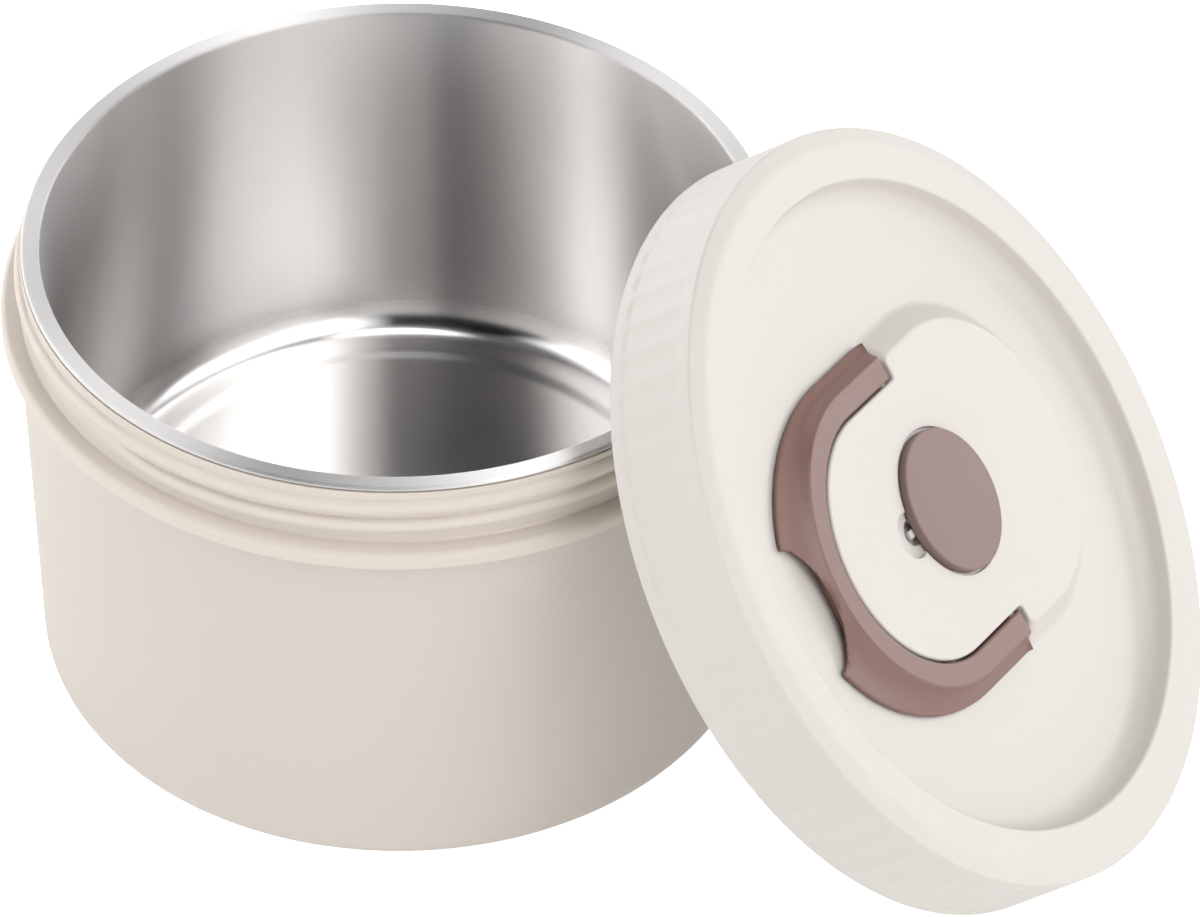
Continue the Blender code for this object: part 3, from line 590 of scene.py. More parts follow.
back_wall = outline([
    (BACK_FOOT_RADIUS + BACK_FOOT_FILLET, ISLAND_ROOT, 0.0),
    (BACK_FOOT_RADIUS + BACK_FOOT_FILLET, RECESS_FLOOR - FOOT_SINK, 0.0),
    (BACK_FOOT_RADIUS, RECESS_FLOOR - FOOT_SINK, BACK_FOOT_FILLET),
    (BACK_TOP_RADIUS, ISLAND_TOP, BACK_EDGE_ROUND),
    (BACK_TOP_RADIUS - TOP_MARGIN, ISLAND_TOP, 0.0),
])
core_edge = outline([
    (0.0, ISLAND_ROOT, 0.0),
    (0.0, ISLAND_TOP, CORE_EDGE_ROUND),
    (-TOP_MARGIN, ISLAND_TOP, 0.0),
])
upright = len(back_wall) - len(core_edge)
core_wall = [core_edge[0].lerp(core_edge[1], k / (upright + 1)) for k in range(upright + 1)]
core_wall += core_edge[1:]
island_loops = [island_loop(-c.x, b.x, c.y, b.y) for c, b in zip(core_wall[:-1], back_wall[:-1])]
island_loops.append(island_loop(TOP_MARGIN, back_wall[-1].x, ISLAND_TOP, ISLAND_TOP, TOP_SLANT))
print("island wall loops", len(island_loops), "points", len(island_loops[0]))

# %% Vent seat in the island's top
VENT_RADIUS = 0.0138
SEAT_RADIUS = VENT_RADIUS + 0.0006
SEAT_FLOOR = ISLAND_TOP - 0.0008
SEAT_EDGE = 0.00015
NOTCH_CENTRE = 0.0151
NOTCH_RADIUS = 0.0045
NOTCH_DROP = 0.0003
NOTCH_BLEND = 0.0004
PIT_CENTRE = 0.0134
PIT_RADIUS = 0.0024
PIT_FLOOR = SEAT_FLOOR - 0.0016
SLOT_HALF = 0.0011
SLOT_FLOOR = SEAT_FLOOR - 0.0013
WALL_BLUR = 0.00015
SEAT_LOOPS = 56
SEAT_INSIDE = 0.0086
SEAT_BORE = VENT_BORE + 0.0009
BORE_SHARES = (0.25, 0.5, 0.75, 1.0)

spokes = [point.xy.normalized() for point in island_loops[-1]]
least_step = min(math.degrees(b.angle_signed(a)) for a, b in zip(spokes, spokes[1:] + spokes[:1]))
print(f"least step between spokes {least_step:.3f} degrees")


def seat_reach(spoke):
    """Distance from the vent's axis to the seat's edge, with the notch joined on softly."""
    aside = NOTCH_CENTRE * spoke.y
    if spoke.x <= 0 or abs(aside) >= NOTCH_RADIUS:
        return SEAT_RADIUS
    notch = NOTCH_CENTRE * spoke.x + math.sqrt(NOTCH_RADIUS**2 - aside**2)
    return SEAT_RADIUS + NOTCH_BLEND * math.log1p(math.exp((notch - SEAT_RADIUS) / NOTCH_BLEND))


def seat_depth(x, y):
    """Height of the seat's floor, with the notch, the pit and the slot of the tab."""
    notch = math.hypot(x - NOTCH_CENTRE, y) - NOTCH_RADIUS
    pit = math.hypot(x - PIT_CENTRE, y) - PIT_RADIUS
    slot = max(abs(y) - SLOT_HALF, x - PIT_CENTRE, -x)
    height = SEAT_FLOOR - NOTCH_DROP * ease(-notch, -WALL_BLUR, WALL_BLUR)
    height += (SLOT_FLOOR - height) * ease(-slot, -WALL_BLUR, WALL_BLUR)
    return height + (PIT_FLOOR - height) * ease(-pit, -WALL_BLUR, WALL_BLUR)


reaches = [seat_reach(spoke) for spoke in spokes]
seat_edge = outline([
    (2 * SEAT_EDGE, ISLAND_TOP, 0.0),
    (0.0, ISLAND_TOP, SEAT_EDGE),
    (-EDGE_ROUND / 4, SEAT_FLOOR, SEAT_EDGE / 2),
    (-2 * SEAT_EDGE, SEAT_FLOOR, 0.0),
], arc_steps=5)
for step in seat_edge:
    sunk = NOTCH_DROP * (ISLAND_TOP - step.y) / (ISLAND_TOP - SEAT_FLOOR)
    island_loops.append([
        Vector((*(spoke * (reach + step.x)), step.y - sunk * (reach > SEAT_RADIUS + NOTCH_BLEND)))
        for spoke, reach in zip(spokes, reaches)
    ])
for k in range(1, SEAT_LOOPS + 1):
    loop = []
    for spoke, reach in zip(spokes, reaches):
        start = reach - 2 * SEAT_EDGE
        place = spoke * (start + (SEAT_INSIDE - start) * k / SEAT_LOOPS)
        loop.append(Vector((*place, seat_depth(*place))))
    island_loops.append(loop)
for share in BORE_SHARES:
    circle = [spoke * (SEAT_INSIDE + (SEAT_BORE - SEAT_INSIDE) * share) for spoke in spokes]
    island_loops.append([Vector((*place, seat_depth(*place))) for place in circle])
island_loops.append([Vector((*(spoke * SEAT_BORE), ISLAND_ROOT)) for spoke in spokes])
island_loops.append(island_loops[0])

island = loft("lid_island", island_loops, capped=False)
hand_over(lean(island, ISLAND_ASIDE), "lid", "cream_plastic", "lid_cover")

# %% [markdown]
# ## The handle
#
# The handle is a flat bail moulded in mauve plastic. Its section has a level top, a rounded ridge
# and a hollow slope that runs out to a thin foot. The section is swept along the first arm, round
# the bow and along the second arm. The arms end in squarish rounds about the hinge, which clear
# the lid's floor when the handle is raised. In the middle of the bow a finger scoop cuts the slope
# away and undercuts the ridge, so that a fingertip gets a hold. A boolean would give it a razor
# edge, so each section is stopped short of the scoop's circle by a soft limit.

# %% Handle section
BAIL_INNER_RADIUS = 0.0249
BAIL_BOW = BOW_CENTRE - HINGE.x
ARM_HALF = ISLAND_TOP - HINGE.z
RIDGE_RADIUS = 0.0297
FOOT_RADIUS = 0.0330
RIDGE = RIDGE_RADIUS - BAIL_INNER_RADIUS
FOOT = FOOT_RADIUS - BAIL_INNER_RADIUS
FOOT_SHIFT = 0.0058
FOOT_HEIGHT = -0.55 * ARM_HALF
WAIST_SHARE = 0.28
WAIST = RIDGE + WAIST_SHARE * (FOOT - RIDGE)
INNER_FOOT_ROUND = 0.0003
INNER_TOP_ROUND = 0.0005
RIDGE_ROUND = 0.0006
WAIST_ROUND = 0.0040
FOOT_EDGE_ROUND = 0.00035
SOLE_ROUND = 0.00025
SECTION_STEPS = 6

section = outline([
    (RIDGE / 2, -ARM_HALF, 0.0),
    (0.0, -ARM_HALF, INNER_FOOT_ROUND),
    (0.0, ARM_HALF, INNER_TOP_ROUND),
    (RIDGE, ARM_HALF, RIDGE_ROUND),
    (WAIST, 0.0, WAIST_ROUND),
    (FOOT, FOOT_HEIGHT, FOOT_EDGE_ROUND),
    (FOOT, -ARM_HALF, SOLE_ROUND),
    (RIDGE / 2, -ARM_HALF, 0.0),
], arc_steps=SECTION_STEPS)[:-1]
print("handle section points", len(section))

# %% Handle
SCOOP_REACH = 0.0449
SCOOP_ASIDE = -0.0026
SCOOP_UNDERCUT = 0.45
SCOOP_RADIUS = 0.0168
SCOOP_SOFTNESS = 0.00015
SCOOP_BROW = 0.3 * ARM_HALF
SCOOP_NEAR = FOOT + 10 * SCOOP_SOFTNESS
SCOOP_CLOSEST = 60.0
HALVINGS = 40
END_ANGLES = [88, 82, 74, 64, 54, 44, 34, 24, 15, 7, 2]
ARM_LENGTHS = 8
BOW_SECTIONS = 160

scoop_centre = Vector((SCOOP_REACH - HINGE.x + SCOOP_RADIUS, SCOOP_ASIDE))


def bail_place(inner, outwards, reach):
    """Place of a section point that lies a reach away from the bail's inner edge."""
    shift = FOOT_SHIFT * outwards.x * min(max((reach - RIDGE) / (FOOT - RIDGE), 0.0), 1.0)
    return inner + outwards * reach + Vector((shift, 0.0))


def scoop_limit(inner, outwards):
    """Reach at which a section would enter the finger scoop, found by halving."""
    near, far = 0.0, 2 * FOOT
    for _ in range(HALVINGS):
        middle = (near + far) / 2
        if (bail_place(inner, outwards, middle) - scoop_centre).length > SCOOP_RADIUS:
            near = middle
        else:
            far = middle
    return near


def bail_section(inner, outwards, tallness=1.0, scooped=False):
    """One loop of the handle, with the scoop's soft limit where it applies."""
    limit = scoop_limit(inner, outwards) if scooped else 2 * FOOT
    loop = []
    for point in section:
        reach = point.x
        if limit < SCOOP_NEAR:
            undercut = SCOOP_UNDERCUT * max(SCOOP_BROW - point.y, 0.0)
            closeness = min((reach - limit + undercut) / SCOOP_SOFTNESS, SCOOP_CLOSEST)
            reach -= SCOOP_SOFTNESS * math.log1p(math.exp(closeness))
        place = bail_place(inner, outwards, reach)
        loop.append(Vector((*place, point.y * tallness)) + HINGE)
    return loop


def bail_arm(side):
    """Loops of an arm from its round end to the bow."""
    outwards = Vector((0.0, side))
    loops = []
    for angle in map(math.radians, END_ANGLES):
        inner = Vector((-ARM_HALF * math.sqrt(math.sin(angle)), side * BAIL_INNER_RADIUS))
        loops.append(bail_section(inner, outwards, math.sqrt(math.cos(angle))))
    for k in range(ARM_LENGTHS):
        inner = Vector((BAIL_BOW * k / ARM_LENGTHS, side * BAIL_INNER_RADIUS))
        loops.append(bail_section(inner, outwards))
    return loops


bow = []
for k in range(BOW_SECTIONS + 1):
    angle = math.pi * (0.5 - k / BOW_SECTIONS)
    outwards = Vector((math.cos(angle), math.sin(angle)))
    inner = Vector((BAIL_BOW, 0.0)) + outwards * BAIL_INNER_RADIUS
    bow.append(bail_section(inner, outwards, scooped=True))
handle = loft("bail_handle", bail_arm(1) + bow + bail_arm(-1)[::-1], capped=True)
hand_over(lean(handle, ISLAND_ASIDE), "handle", "mauve_plastic", "carry_handle")

# %% [markdown]
# ## The vent
#
# A soft silicone disc covers the vent. It is pressed on the head of a hard plastic stem that runs
# down through the lid and ends in a barb. A small tab of the stem shows at the nail notch.
# Disc and stem are turned. The tab is a cube that is stretched and bevelled, then joined to the stem.

# %% Vent disc and stem
DISC_STAND = 0.0017
DISC_ROUND = 0.0004
DISC_DOME = 0.0003
DOME_ROUND = 0.1
DISC_BOTTOM = SEAT_FLOOR + 0.0003
HEAD_RADIUS = 0.0070
HEAD_HEIGHT = 0.0010
HEAD_GAP = 0.0003
HEAD_PLAY = 0.0012
STEM_RADIUS = 0.0032
BARB_RADIUS = 0.0044
BARB_TOP = 0.0046
BARB_HEIGHT = 0.0016
TAB_LENGTH = 0.0149
TAB_WIDTH = 0.0016
TAB_HEIGHT = 0.0010
TAB_BEVEL = 0.0002

disc_top = ISLAND_TOP + DISC_STAND
pocket = DISC_BOTTOM + HEAD_HEIGHT + HEAD_GAP
disc = turn("vent_disc", outline([
    (0.0, disc_top, 0.0),
    (VENT_RADIUS / 2, disc_top - DISC_DOME / 4, DOME_ROUND),
    (VENT_RADIUS, disc_top - DISC_DOME, DISC_ROUND),
    (VENT_RADIUS, DISC_BOTTOM, DISC_ROUND / 2),
    (HEAD_RADIUS + HEAD_PLAY, DISC_BOTTOM, EDGE_ROUND),
    (HEAD_RADIUS + HEAD_PLAY, pocket, EDGE_ROUND),
    (0.0, pocket, 0.0),
]))
hand_over(lean(disc, ISLAND_ASIDE), "vent", "mauve_silicone", "vent_cap")

stem = turn("vent_plunger", outline([
    (0.0, DISC_BOTTOM + HEAD_HEIGHT, 0.0),
    (HEAD_RADIUS, DISC_BOTTOM + HEAD_HEIGHT, EDGE_ROUND),
    (HEAD_RADIUS, DISC_BOTTOM, EDGE_ROUND),
    (STEM_RADIUS, DISC_BOTTOM, EDGE_ROUND),
    (STEM_RADIUS, BARB_TOP, EDGE_ROUND),
    (BARB_RADIUS, BARB_TOP, EDGE_ROUND),
    (STEM_RADIUS / 2, BARB_TOP - BARB_HEIGHT, EDGE_ROUND),
    (0.0, BARB_TOP - BARB_HEIGHT, 0.0),
], arc_steps=4), steps=64)
bpy.ops.object.select_all(action="DESELECT")
bpy.ops.mesh.primitive_cube_add(size=1.0, enter_editmode=True, location=(0, 0, 0))
tab = bpy.context.object
tab_start = STEM_RADIUS / 2
tab_middle = ((TAB_LENGTH + tab_start) / 2, ISLAND_ASIDE.y, SEAT_FLOOR - TAB_HEIGHT / 2)
bpy.ops.transform.resize(value=(TAB_LENGTH - tab_start, TAB_WIDTH, TAB_HEIGHT))
bpy.ops.transform.translate(value=tab_middle)
bpy.ops.mesh.bevel(offset=TAB_BEVEL, segments=3, affect="EDGES")
bpy.ops.object.mode_set(mode="OBJECT")
pick(stem)
tab.select_set(True)
bpy.ops.object.join()
hand_over(lean(stem), "vent", "white_plastic", "vent_stem")

# %% [markdown]
# ## The lid's inside
#
# Under the cover a white plug enters the bowl's mouth, with the well of the vent in its middle.
# A silicone ring lies under the plug's flange and seals on the steel rim. Both are turned,
# and the ring has two thin lips, which such rings have because a narrow lip seals with little force.

# %% Plug and sealing ring
LINER_FACE = 0.0030
LINER_WALL = 0.0015
LINER_CORNER = 0.0020
LINER_TOP = LINER_LEDGE - 0.0003
LINER_SEAT = LINER_TOP - LINER_WALL
PLUG_RADIUS = mouth - 0.0026
PLUG_INSIDE = PLUG_RADIUS - LINER_WALL
FLANGE_REACH = SKIRT_INSIDE - 0.0003
WELL_RADIUS = 0.0090
WELL_TOP = 0.0089
TUBE_RADIUS = VENT_BORE + 0.0016
TUBE_TOP = COVER_UNDERSIDE - 0.0003

plug = turn("lid_plug", outline([
    (FLANGE_REACH - LINER_WALL, LINER_TOP, 0.0),
    (FLANGE_REACH, LINER_TOP, EDGE_ROUND),
    (FLANGE_REACH, LINER_SEAT, EDGE_ROUND),
    (PLUG_RADIUS, LINER_SEAT, EDGE_ROUND),
    (PLUG_RADIUS, LINER_FACE, LINER_CORNER),
    (WELL_RADIUS, LINER_FACE, EDGE_ROUND),
    (WELL_RADIUS, WELL_TOP, EDGE_ROUND),
    (VENT_BORE, WELL_TOP, EDGE_ROUND),
    (VENT_BORE, TUBE_TOP, EDGE_ROUND),
    (TUBE_RADIUS, TUBE_TOP, EDGE_ROUND),
    (TUBE_RADIUS, WELL_TOP + LINER_WALL, EDGE_ROUND),
    (WELL_RADIUS + LINER_WALL, WELL_TOP + LINER_WALL, EDGE_ROUND),
    (WELL_RADIUS + LINER_WALL, LINER_FACE + LINER_WALL, EDGE_ROUND),
    (PLUG_INSIDE, LINER_FACE + LINER_WALL, EDGE_ROUND),
    (PLUG_INSIDE, LINER_TOP, EDGE_ROUND),
    (FLANGE_REACH - LINER_WALL, LINER_TOP, 0.0),
], arc_steps=5))
hand_over(lean(plug), "lid", "white_plastic", "lid_liner")

SEAL_TOP = LINER_SEAT - 0.0003
SEAL_BOTTOM = SEAL_TOP - 0.0017
SEAL_INSIDE = PLUG_RADIUS + 0.0003
SEAL_OUTSIDE = SKIRT_INSIDE - 0.0010
LIP_WIDTH = 0.0008
LIP_HEIGHT = 0.0006

lip_root = SEAL_BOTTOM + LIP_HEIGHT
lips = []
for centre in np.linspace(SEAL_OUTSIDE - LIP_WIDTH, SEAL_INSIDE + LIP_WIDTH, 3)[:2]:
    lips += [(centre + LIP_WIDTH, lip_root, EDGE_ROUND), (centre, SEAL_BOTTOM, EDGE_ROUND)]
    lips += [(centre - LIP_WIDTH, lip_root, EDGE_ROUND)]
lips[0] = (SEAL_OUTSIDE, lip_root, EDGE_ROUND)
seal = turn("lid_seal", outline([
    (SEAL_OUTSIDE - LIP_WIDTH, SEAL_TOP, 0.0),
    (SEAL_OUTSIDE, SEAL_TOP, EDGE_ROUND),
    *lips,
    (SEAL_INSIDE, lip_root, EDGE_ROUND),
    (SEAL_INSIDE, SEAL_TOP, EDGE_ROUND),
    (SEAL_OUTSIDE - LIP_WIDTH, SEAL_TOP, 0.0),
], arc_steps=5))
hand_over(lean(seal), "seal", "white_silicone", "sealing_ring")

# %% [markdown]
# ## Shared surface effects
#
# Two effects come back in several finishes, so each is a node group. Turned marks are the fine
# rings that a lathe or a polishing wheel leaves: noise that changes quickly across the rings and
# slowly round them. A moulded skin is the faint cloudiness of plastic and the fine grain that
# the mould's surface gives it. The groups put out masks only, and each material uses them in its
# own way.

# %% Node helpers
def add_node(tree, kind, **values):
    """Add a node and set its properties and, by socket name, its unlinked inputs."""
    node = tree.nodes.new(kind)
    for name, value in values.pop("inputs", {}).items():
        node.inputs[name].default_value = value
    for name, value in values.items():
        setattr(node, name, value)
    return node


def new_group(name, inputs, outputs):
    """An empty shader node group with float sockets, and its two end nodes."""
    group = bpy.data.node_groups.new(name, "ShaderNodeTree")
    for socket, value in inputs.items():
        added = group.interface.new_socket(socket, in_out="INPUT", socket_type="NodeSocketFloat")
        added.default_value = value
    for socket in outputs:
        group.interface.new_socket(socket, in_out="OUTPUT", socket_type="NodeSocketFloat")
    return group, add_node(group, "NodeGroupInput"), add_node(group, "NodeGroupOutput")


# %% Turned marks
marks, marks_in, marks_out = new_group("turned_marks", {"Rings": 9000.0, "Round": 1.5}, ["Mark"])
place = add_node(marks, "ShaderNodeTexCoord")
split = add_node(marks, "ShaderNodeSeparateXYZ")
flat = add_node(marks, "ShaderNodeVectorMath", operation="MULTIPLY")
flat.inputs[1].default_value = (1.0, 1.0, 0.0)
length = add_node(marks, "ShaderNodeVectorMath", operation="LENGTH")
heading = add_node(marks, "ShaderNodeVectorMath", operation="NORMALIZE")
spread = add_node(marks, "ShaderNodeVectorMath", operation="SCALE")
depth = add_node(marks, "ShaderNodeMath", operation="ADD")
rings = add_node(marks, "ShaderNodeMath", operation="MULTIPLY")
lift = add_node(marks, "ShaderNodeCombineXYZ")
total = add_node(marks, "ShaderNodeVectorMath", operation="ADD")
noise = add_node(marks, "ShaderNodeTexNoise", inputs={"Scale": 1.0, "Detail": 3.0, "Roughness": 0.6})
marks.links.new(place.outputs["Object"], split.inputs[0])
marks.links.new(place.outputs["Object"], flat.inputs[0])
marks.links.new(flat.outputs[0], length.inputs[0])
marks.links.new(flat.outputs[0], heading.inputs[0])
marks.links.new(heading.outputs[0], spread.inputs[0])
marks.links.new(marks_in.outputs["Round"], spread.inputs["Scale"])
marks.links.new(length.outputs["Value"], depth.inputs[0])
marks.links.new(split.outputs["Z"], depth.inputs[1])
marks.links.new(depth.outputs[0], rings.inputs[0])
marks.links.new(marks_in.outputs["Rings"], rings.inputs[1])
marks.links.new(rings.outputs[0], lift.inputs["Z"])
marks.links.new(spread.outputs[0], total.inputs[0])
marks.links.new(lift.outputs[0], total.inputs[1])
marks.links.new(total.outputs[0], noise.inputs["Vector"])
marks.links.new(noise.outputs["Fac"], marks_out.inputs["Mark"])
print("group", marks.name)

# %% Moulded skin
skin, skin_in, skin_out = new_group(
    "moulded_skin", {"Cloud Scale": 40.0, "Grain Scale": 6000.0}, ["Cloud", "Grain"]
)
place = add_node(skin, "ShaderNodeTexCoord")
cloud = add_node(skin, "ShaderNodeTexNoise", inputs={"Detail": 4.0, "Roughness": 0.55})
grain = add_node(skin, "ShaderNodeTexNoise", inputs={"Detail": 2.0, "Roughness": 0.5})
for source, scale, socket in ((cloud, "Cloud Scale", "Cloud"), (grain, "Grain Scale", "Grain")):
    skin.links.new(place.outputs["Object"], source.inputs["Vector"])
    skin.links.new(skin_in.outputs[scale], source.inputs["Scale"])
    skin.links.new(source.outputs["Fac"], skin_out.inputs[socket])
print("group", skin.name)

# %% [markdown]
# ## The finishes
#
# The plastics differ in colour, gloss and grain, so one recipe makes them all: the cloud mask
# moves the colour and the gloss a little, and the grain is a shallow bump.
# Steel is another matter. The marks of the polishing wheel run round the bowl and smear its
# reflections across them, upright on the wall and outwards on the floor. That is anisotropy: a
# radial tangent says which way the marks run.

# %% Plastic, silicone, coating and foam
def moulded(name, light, dark, gloss, cloud_scale, grain_scale, grain_depth, grain_strength=0.3):
    """A moulded finish between two close colours, with a range of roughness."""
    material = bpy.data.materials.new(name)
    material.use_nodes = True
    tree = material.node_tree
    shader = tree.nodes["Principled BSDF"]
    mask = add_node(tree, "ShaderNodeGroup", node_tree=skin)
    mask.inputs["Cloud Scale"].default_value = cloud_scale
    mask.inputs["Grain Scale"].default_value = grain_scale
    tint = add_node(tree, "ShaderNodeMix", data_type="RGBA")
    tint.inputs["A"].default_value = (*dark, 1.0)
    tint.inputs["B"].default_value = (*light, 1.0)
    tree.links.new(mask.outputs["Cloud"], tint.inputs["Factor"])
    tree.links.new(tint.outputs["Result"], shader.inputs["Base Color"])
    rough = add_node(tree, "ShaderNodeMapRange", inputs={"To Min": gloss[0], "To Max": gloss[1]})
    tree.links.new(mask.outputs["Cloud"], rough.inputs["Value"])
    tree.links.new(rough.outputs["Result"], shader.inputs["Roughness"])
    grain_bump = {"Strength": grain_strength, "Distance": grain_depth}
    bump = add_node(tree, "ShaderNodeBump", inputs=grain_bump)
    tree.links.new(mask.outputs["Grain"], bump.inputs["Height"])
    tree.links.new(bump.outputs["Normal"], shader.inputs["Normal"])
    return material


cream = moulded(
    "cream_moulding", light=(0.58, 0.547, 0.513), dark=(0.56, 0.528, 0.495),
    gloss=(0.42, 0.52), cloud_scale=45, grain_scale=5000, grain_depth=0.00006,
)
cream_neck = moulded(
    "collar_moulding", light=(0.625, 0.563, 0.502), dark=(0.605, 0.545, 0.486),
    gloss=(0.36, 0.46), cloud_scale=45, grain_scale=5000, grain_depth=0.00004,
)
beige = moulded(
    "beige_coat", light=(0.565, 0.518, 0.471), dark=(0.547, 0.501, 0.456),
    gloss=(0.38, 0.46), cloud_scale=30, grain_scale=2600, grain_depth=0.00005,
)
mauve = moulded(
    "mauve_moulding", light=(0.195, 0.106, 0.087), dark=(0.182, 0.099, 0.081),
    gloss=(0.32, 0.40), cloud_scale=60, grain_scale=5000, grain_depth=0.00008,
)
mauve_soft = moulded(
    "mauve_rubber", light=(0.222, 0.146, 0.140), dark=(0.208, 0.137, 0.131),
    gloss=(0.46, 0.56), cloud_scale=80, grain_scale=7000, grain_depth=0.00006,
)
white_hard = moulded(
    "white_moulding", light=(0.62, 0.605, 0.58), dark=(0.60, 0.585, 0.56),
    gloss=(0.48, 0.58), cloud_scale=50, grain_scale=5000, grain_depth=0.00005,
)
white_soft = moulded(
    "white_rubber", light=(0.60, 0.59, 0.565), dark=(0.57, 0.56, 0.535),
    gloss=(0.52, 0.62), cloud_scale=70, grain_scale=6000, grain_depth=0.00005,
)
foam = moulded(
    "insulating_foam", light=(0.80, 0.77, 0.68), dark=(0.72, 0.69, 0.60),
    gloss=(0.85, 0.95), cloud_scale=300, grain_scale=900, grain_depth=0.0006, grain_strength=0.6,
)


# %% Satin steel
MARK_GLOSS = 0.015
MARK_TINT = 0.965
QUARTER_TURN = 0.25


def satin_steel(name, colour, gloss, steps, anisotropy):
    """Steel with fine marks round the Z axis, and a roughness that grows at some heights."""
    material = bpy.data.materials.new(name)
    material.use_nodes = True
    tree = material.node_tree
    shader = tree.nodes["Principled BSDF"]
    shader.inputs["Metallic"].default_value = 1.0
    shader.inputs["Anisotropic"].default_value = anisotropy
    shader.inputs["Anisotropic Rotation"].default_value = QUARTER_TURN
    mask = add_node(tree, "ShaderNodeGroup", node_tree=marks)
    tint = add_node(tree, "ShaderNodeMix", data_type="RGBA")
    tint.inputs["A"].default_value = (*(MARK_TINT * c for c in colour), 1.0)
    tint.inputs["B"].default_value = (*colour, 1.0)
    tree.links.new(mask.outputs["Mark"], tint.inputs["Factor"])
    tree.links.new(tint.outputs["Result"], shader.inputs["Base Color"])
    gloss_range = {"To Min": gloss - MARK_GLOSS, "To Max": gloss + MARK_GLOSS}
    rough = add_node(tree, "ShaderNodeMapRange", inputs=gloss_range)
    tree.links.new(mask.outputs["Mark"], rough.inputs["Value"])
    total = rough.outputs["Result"]
    place = add_node(tree, "ShaderNodeTexCoord")
    split = add_node(tree, "ShaderNodeSeparateXYZ")
    tree.links.new(place.outputs["Object"], split.inputs[0])
    for low, high, growth in steps:
        step = add_node(tree, "ShaderNodeMapRange", interpolation_type="SMOOTHSTEP")
        for socket, value in (("From Min", low), ("From Max", high), ("To Max", growth)):
            step.inputs[socket].default_value = value
        tree.links.new(split.outputs["Z"], step.inputs["Value"])
        both = add_node(tree, "ShaderNodeMath", operation="ADD")
        tree.links.new(total, both.inputs[0])
        tree.links.new(step.outputs["Result"], both.inputs[1])
        total = both.outputs[0]
    tree.links.new(total, shader.inputs["Roughness"])
    tangent = add_node(tree, "ShaderNodeTangent", direction_type="RADIAL", axis="Z")
    tree.links.new(tangent.outputs["Tangent"], shader.inputs["Tangent"])
    return material


BOWL_STEPS = [
    # heights at which the roughness starts and stops growing, and by how much
    (BOWL_FLOOR + 0.0002, BOWL_FLOOR + 0.0070, 0.17),
    (RIM_HEIGHT - 0.0009, RIM_HEIGHT - 0.0004, 0.20),
]
steel = satin_steel(
    "polished_bowl_steel", colour=(0.80, 0.785, 0.777), gloss=0.13, steps=BOWL_STEPS, anisotropy=1.0
)
pin_steel = satin_steel(
    "pin_steel", colour=(0.36, 0.35, 0.34), gloss=0.50, steps=[], anisotropy=0.0
)

# %% [markdown]
# ## Dressing the pieces
#
# Each piece and each CAD node that stays gets its finish. The nodes that stay are inside: the two
# foams, the ring under the rim and the hinge pins.

# %% Assign the finishes
FINISHES = [
    (cream, [lid_shell, island]),
    (cream_neck, [collar]),
    (beige, [shell]),
    (steel, [bowl]),
    (mauve, [handle]),
    (mauve_soft, [disc]),
    (white_hard, [stem, plug]),
    (white_soft, [seal, nodes["rim_seal"]]),
    (foam, [nodes["body_insulation"], nodes["lid_insulation"]]),
    (pin_steel, [nodes["hinge_pin_left"], nodes["hinge_pin_right"]]),
]
for finish, dressed in FINISHES:
    for piece in dressed:
        piece.data.materials.clear()
        piece.data.materials.append(finish)
    print(finish.name, "on", [piece.name for piece in dressed])

# %% [markdown]
# ## The studio
#
# The photograph is bright and even, on white. The floor is a wide pale sheet that glows a little,
# so that shadows stay faint, and glows more where the camera looks straight at it.
# Lamps would leave sharp spots in the steel, so the light is a room of soft panels, painted on the
# sky by direction. A wide panel stands to the right in front and a fainter one to the left. The dark
# gap between them draws the dark band in the bowl, and a small panel overhead the bright ring at
# its corner. Low panels all round light the upright walls.

# %% Floor
FLOOR_SIZE = 30.0
FLOOR_COLOUR = (0.85, 0.85, 0.85)
FLOOR_GLOW = 0.25
FLOOR_SEEN_GLOW = 0.8
FLOOR_ROUGHNESS = 0.9
FLOOR_SHINE = 0.1

bpy.ops.object.select_all(action="DESELECT")
bpy.ops.mesh.primitive_plane_add(size=FLOOR_SIZE, location=(0, 0, 0))
floor = bpy.context.object
floor.name = "floor"
pale = bpy.data.materials.new("pale_floor")
pale.use_nodes = True
tree = pale.node_tree
pale_shader = tree.nodes["Principled BSDF"]
pale_shader.inputs["Base Color"].default_value = (*FLOOR_COLOUR, 1.0)
pale_shader.inputs["Roughness"].default_value = FLOOR_ROUGHNESS
pale_shader.inputs["Specular IOR Level"].default_value = FLOOR_SHINE
pale_shader.inputs["Emission Color"].default_value = (1.0, 1.0, 1.0, 1.0)
path = add_node(tree, "ShaderNodeLightPath")
seen = add_node(tree, "ShaderNodeMapRange", inputs={"To Min": FLOOR_GLOW, "To Max": FLOOR_SEEN_GLOW})
tree.links.new(path.outputs["Is Camera Ray"], seen.inputs["Value"])
tree.links.new(seen.outputs["Result"], pale_shader.inputs["Emission Strength"])
floor.data.materials.append(pale)

# %% Soft room
ROOM_LOW = 0.98
ROOM_HIGH = 0.16
ROOM_FADE = (0.12, 0.45)
PANELS = [
    # azimuth, half width and blur, elevation, half height and blur in degrees, then the strength
    (330, 45, 18, 50, 18, 10, 2.2),  # wide, right in front
    (317, 18, 14, 50, 20, 12, 2.45),  # its brighter middle
    (176, 36, 14, 42, 16, 10, 2.05),  # left
    (247, 28, 12, 50, 38, 9, -0.5),  # dark gap in front
    (28, 22, 14, 5, 10, 8, 3.6),  # low, behind on the right
    (225, 110, 30, 0, 8, 5, 2.75),  # low, in front
    (128, 45, 20, 4, 8, 5, 2.45),  # low, behind on the left
    (0, 200, 10, 90, 8, 5, 4.1),  # overhead
    (90, 22, 12, 42, 14, 8, 1.9),  # behind, for the rim
]


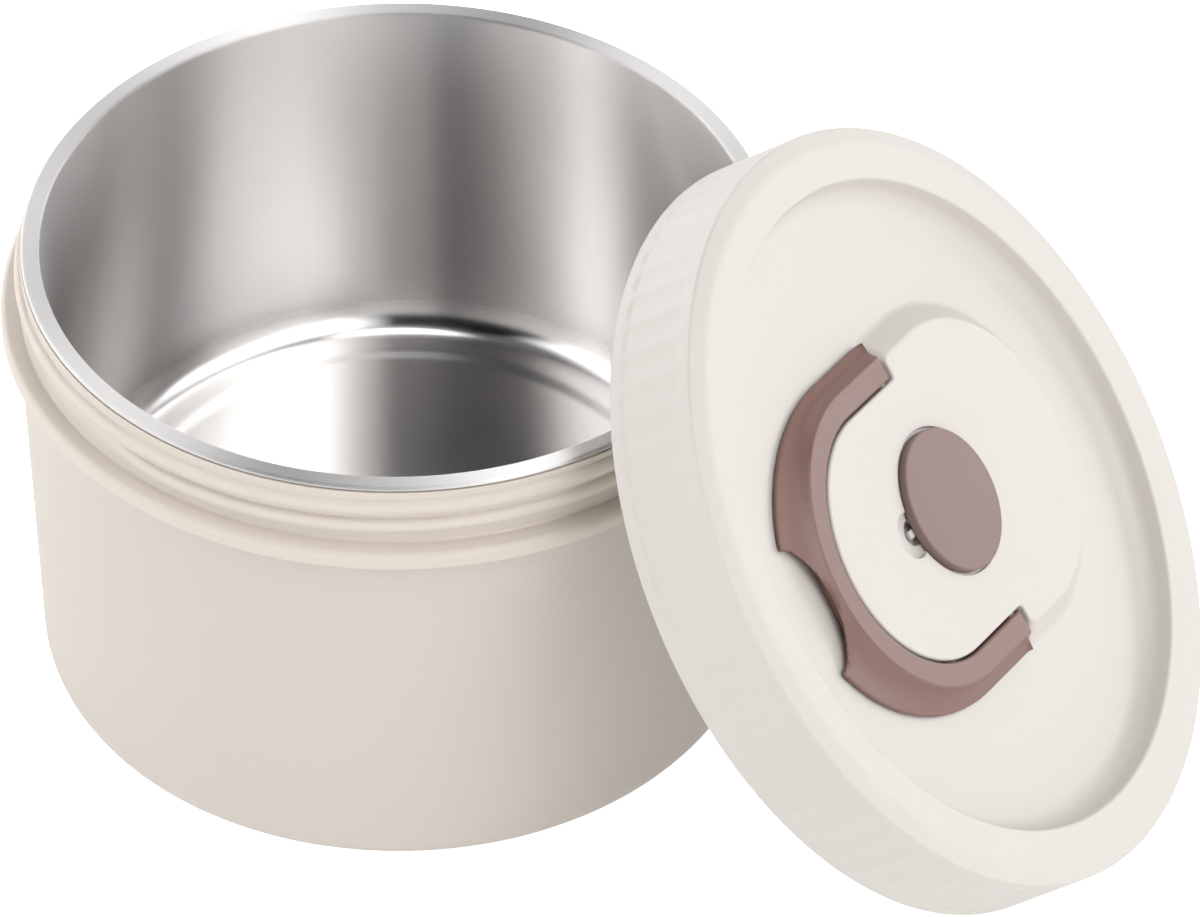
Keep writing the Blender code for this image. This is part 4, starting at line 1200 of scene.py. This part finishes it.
def link_math(tree, operation, *sources):
    """A math node fed by sockets and plain numbers."""
    node = add_node(tree, "ShaderNodeMath", operation=operation)
    for socket, source in zip(node.inputs, sources):
        if isinstance(source, bpy.types.NodeSocket):
            tree.links.new(source, socket)
        else:
            socket.default_value = source
    return node.outputs[0]


def soft_band(tree, angle, centre, half, blur):
    """A mask that is 1 within half of a central angle and fades out over the blur, in degrees."""
    off = link_math(tree, "SUBTRACT", angle, math.radians(centre))
    off = link_math(tree, "ABSOLUTE", link_math(tree, "WRAP", off, math.pi, -math.pi))
    band = add_node(tree, "ShaderNodeMapRange", interpolation_type="SMOOTHSTEP")
    band.inputs["From Min"].default_value = math.radians(half + blur)
    band.inputs["From Max"].default_value = math.radians(half - blur)
    tree.links.new(off, band.inputs["Value"])
    return band.outputs["Result"]


world = bpy.data.worlds.new("soft_room")
bpy.context.scene.world = world
world.use_nodes = True
tree = world.node_tree
backdrop = tree.nodes["Background"]
aim = add_node(tree, "ShaderNodeTexCoord")
split = add_node(tree, "ShaderNodeSeparateXYZ")
tree.links.new(aim.outputs["Generated"], split.inputs[0])
level = add_node(tree, "ShaderNodeMapRange", interpolation_type="SMOOTHSTEP")
level.inputs["From Min"].default_value, level.inputs["From Max"].default_value = ROOM_FADE
level.inputs["To Min"].default_value = ROOM_LOW
level.inputs["To Max"].default_value = ROOM_HIGH
tree.links.new(split.outputs["Z"], level.inputs["Value"])
turned = link_math(tree, "ARCTAN2", split.outputs["Y"], split.outputs["X"])
raised = link_math(tree, "ARCSINE", split.outputs["Z"])
glow = level.outputs["Result"]
for azimuth, half_width, side_blur, elevation, half_height, top_blur, strength in PANELS:
    wide = soft_band(tree, turned, azimuth, half_width, side_blur)
    tall = soft_band(tree, raised, elevation, half_height, top_blur)
    panel = link_math(tree, "MULTIPLY", link_math(tree, "MULTIPLY", wide, tall), strength)
    glow = link_math(tree, "ADD", glow, panel)
tree.links.new(link_math(tree, "MAXIMUM", glow, 0.0), backdrop.inputs["Strength"])
backdrop.inputs["Color"].default_value = (1.0, 1.0, 1.0, 1.0)
bpy.context.scene.view_settings.view_transform = "Standard"
print("panels", len(PANELS))
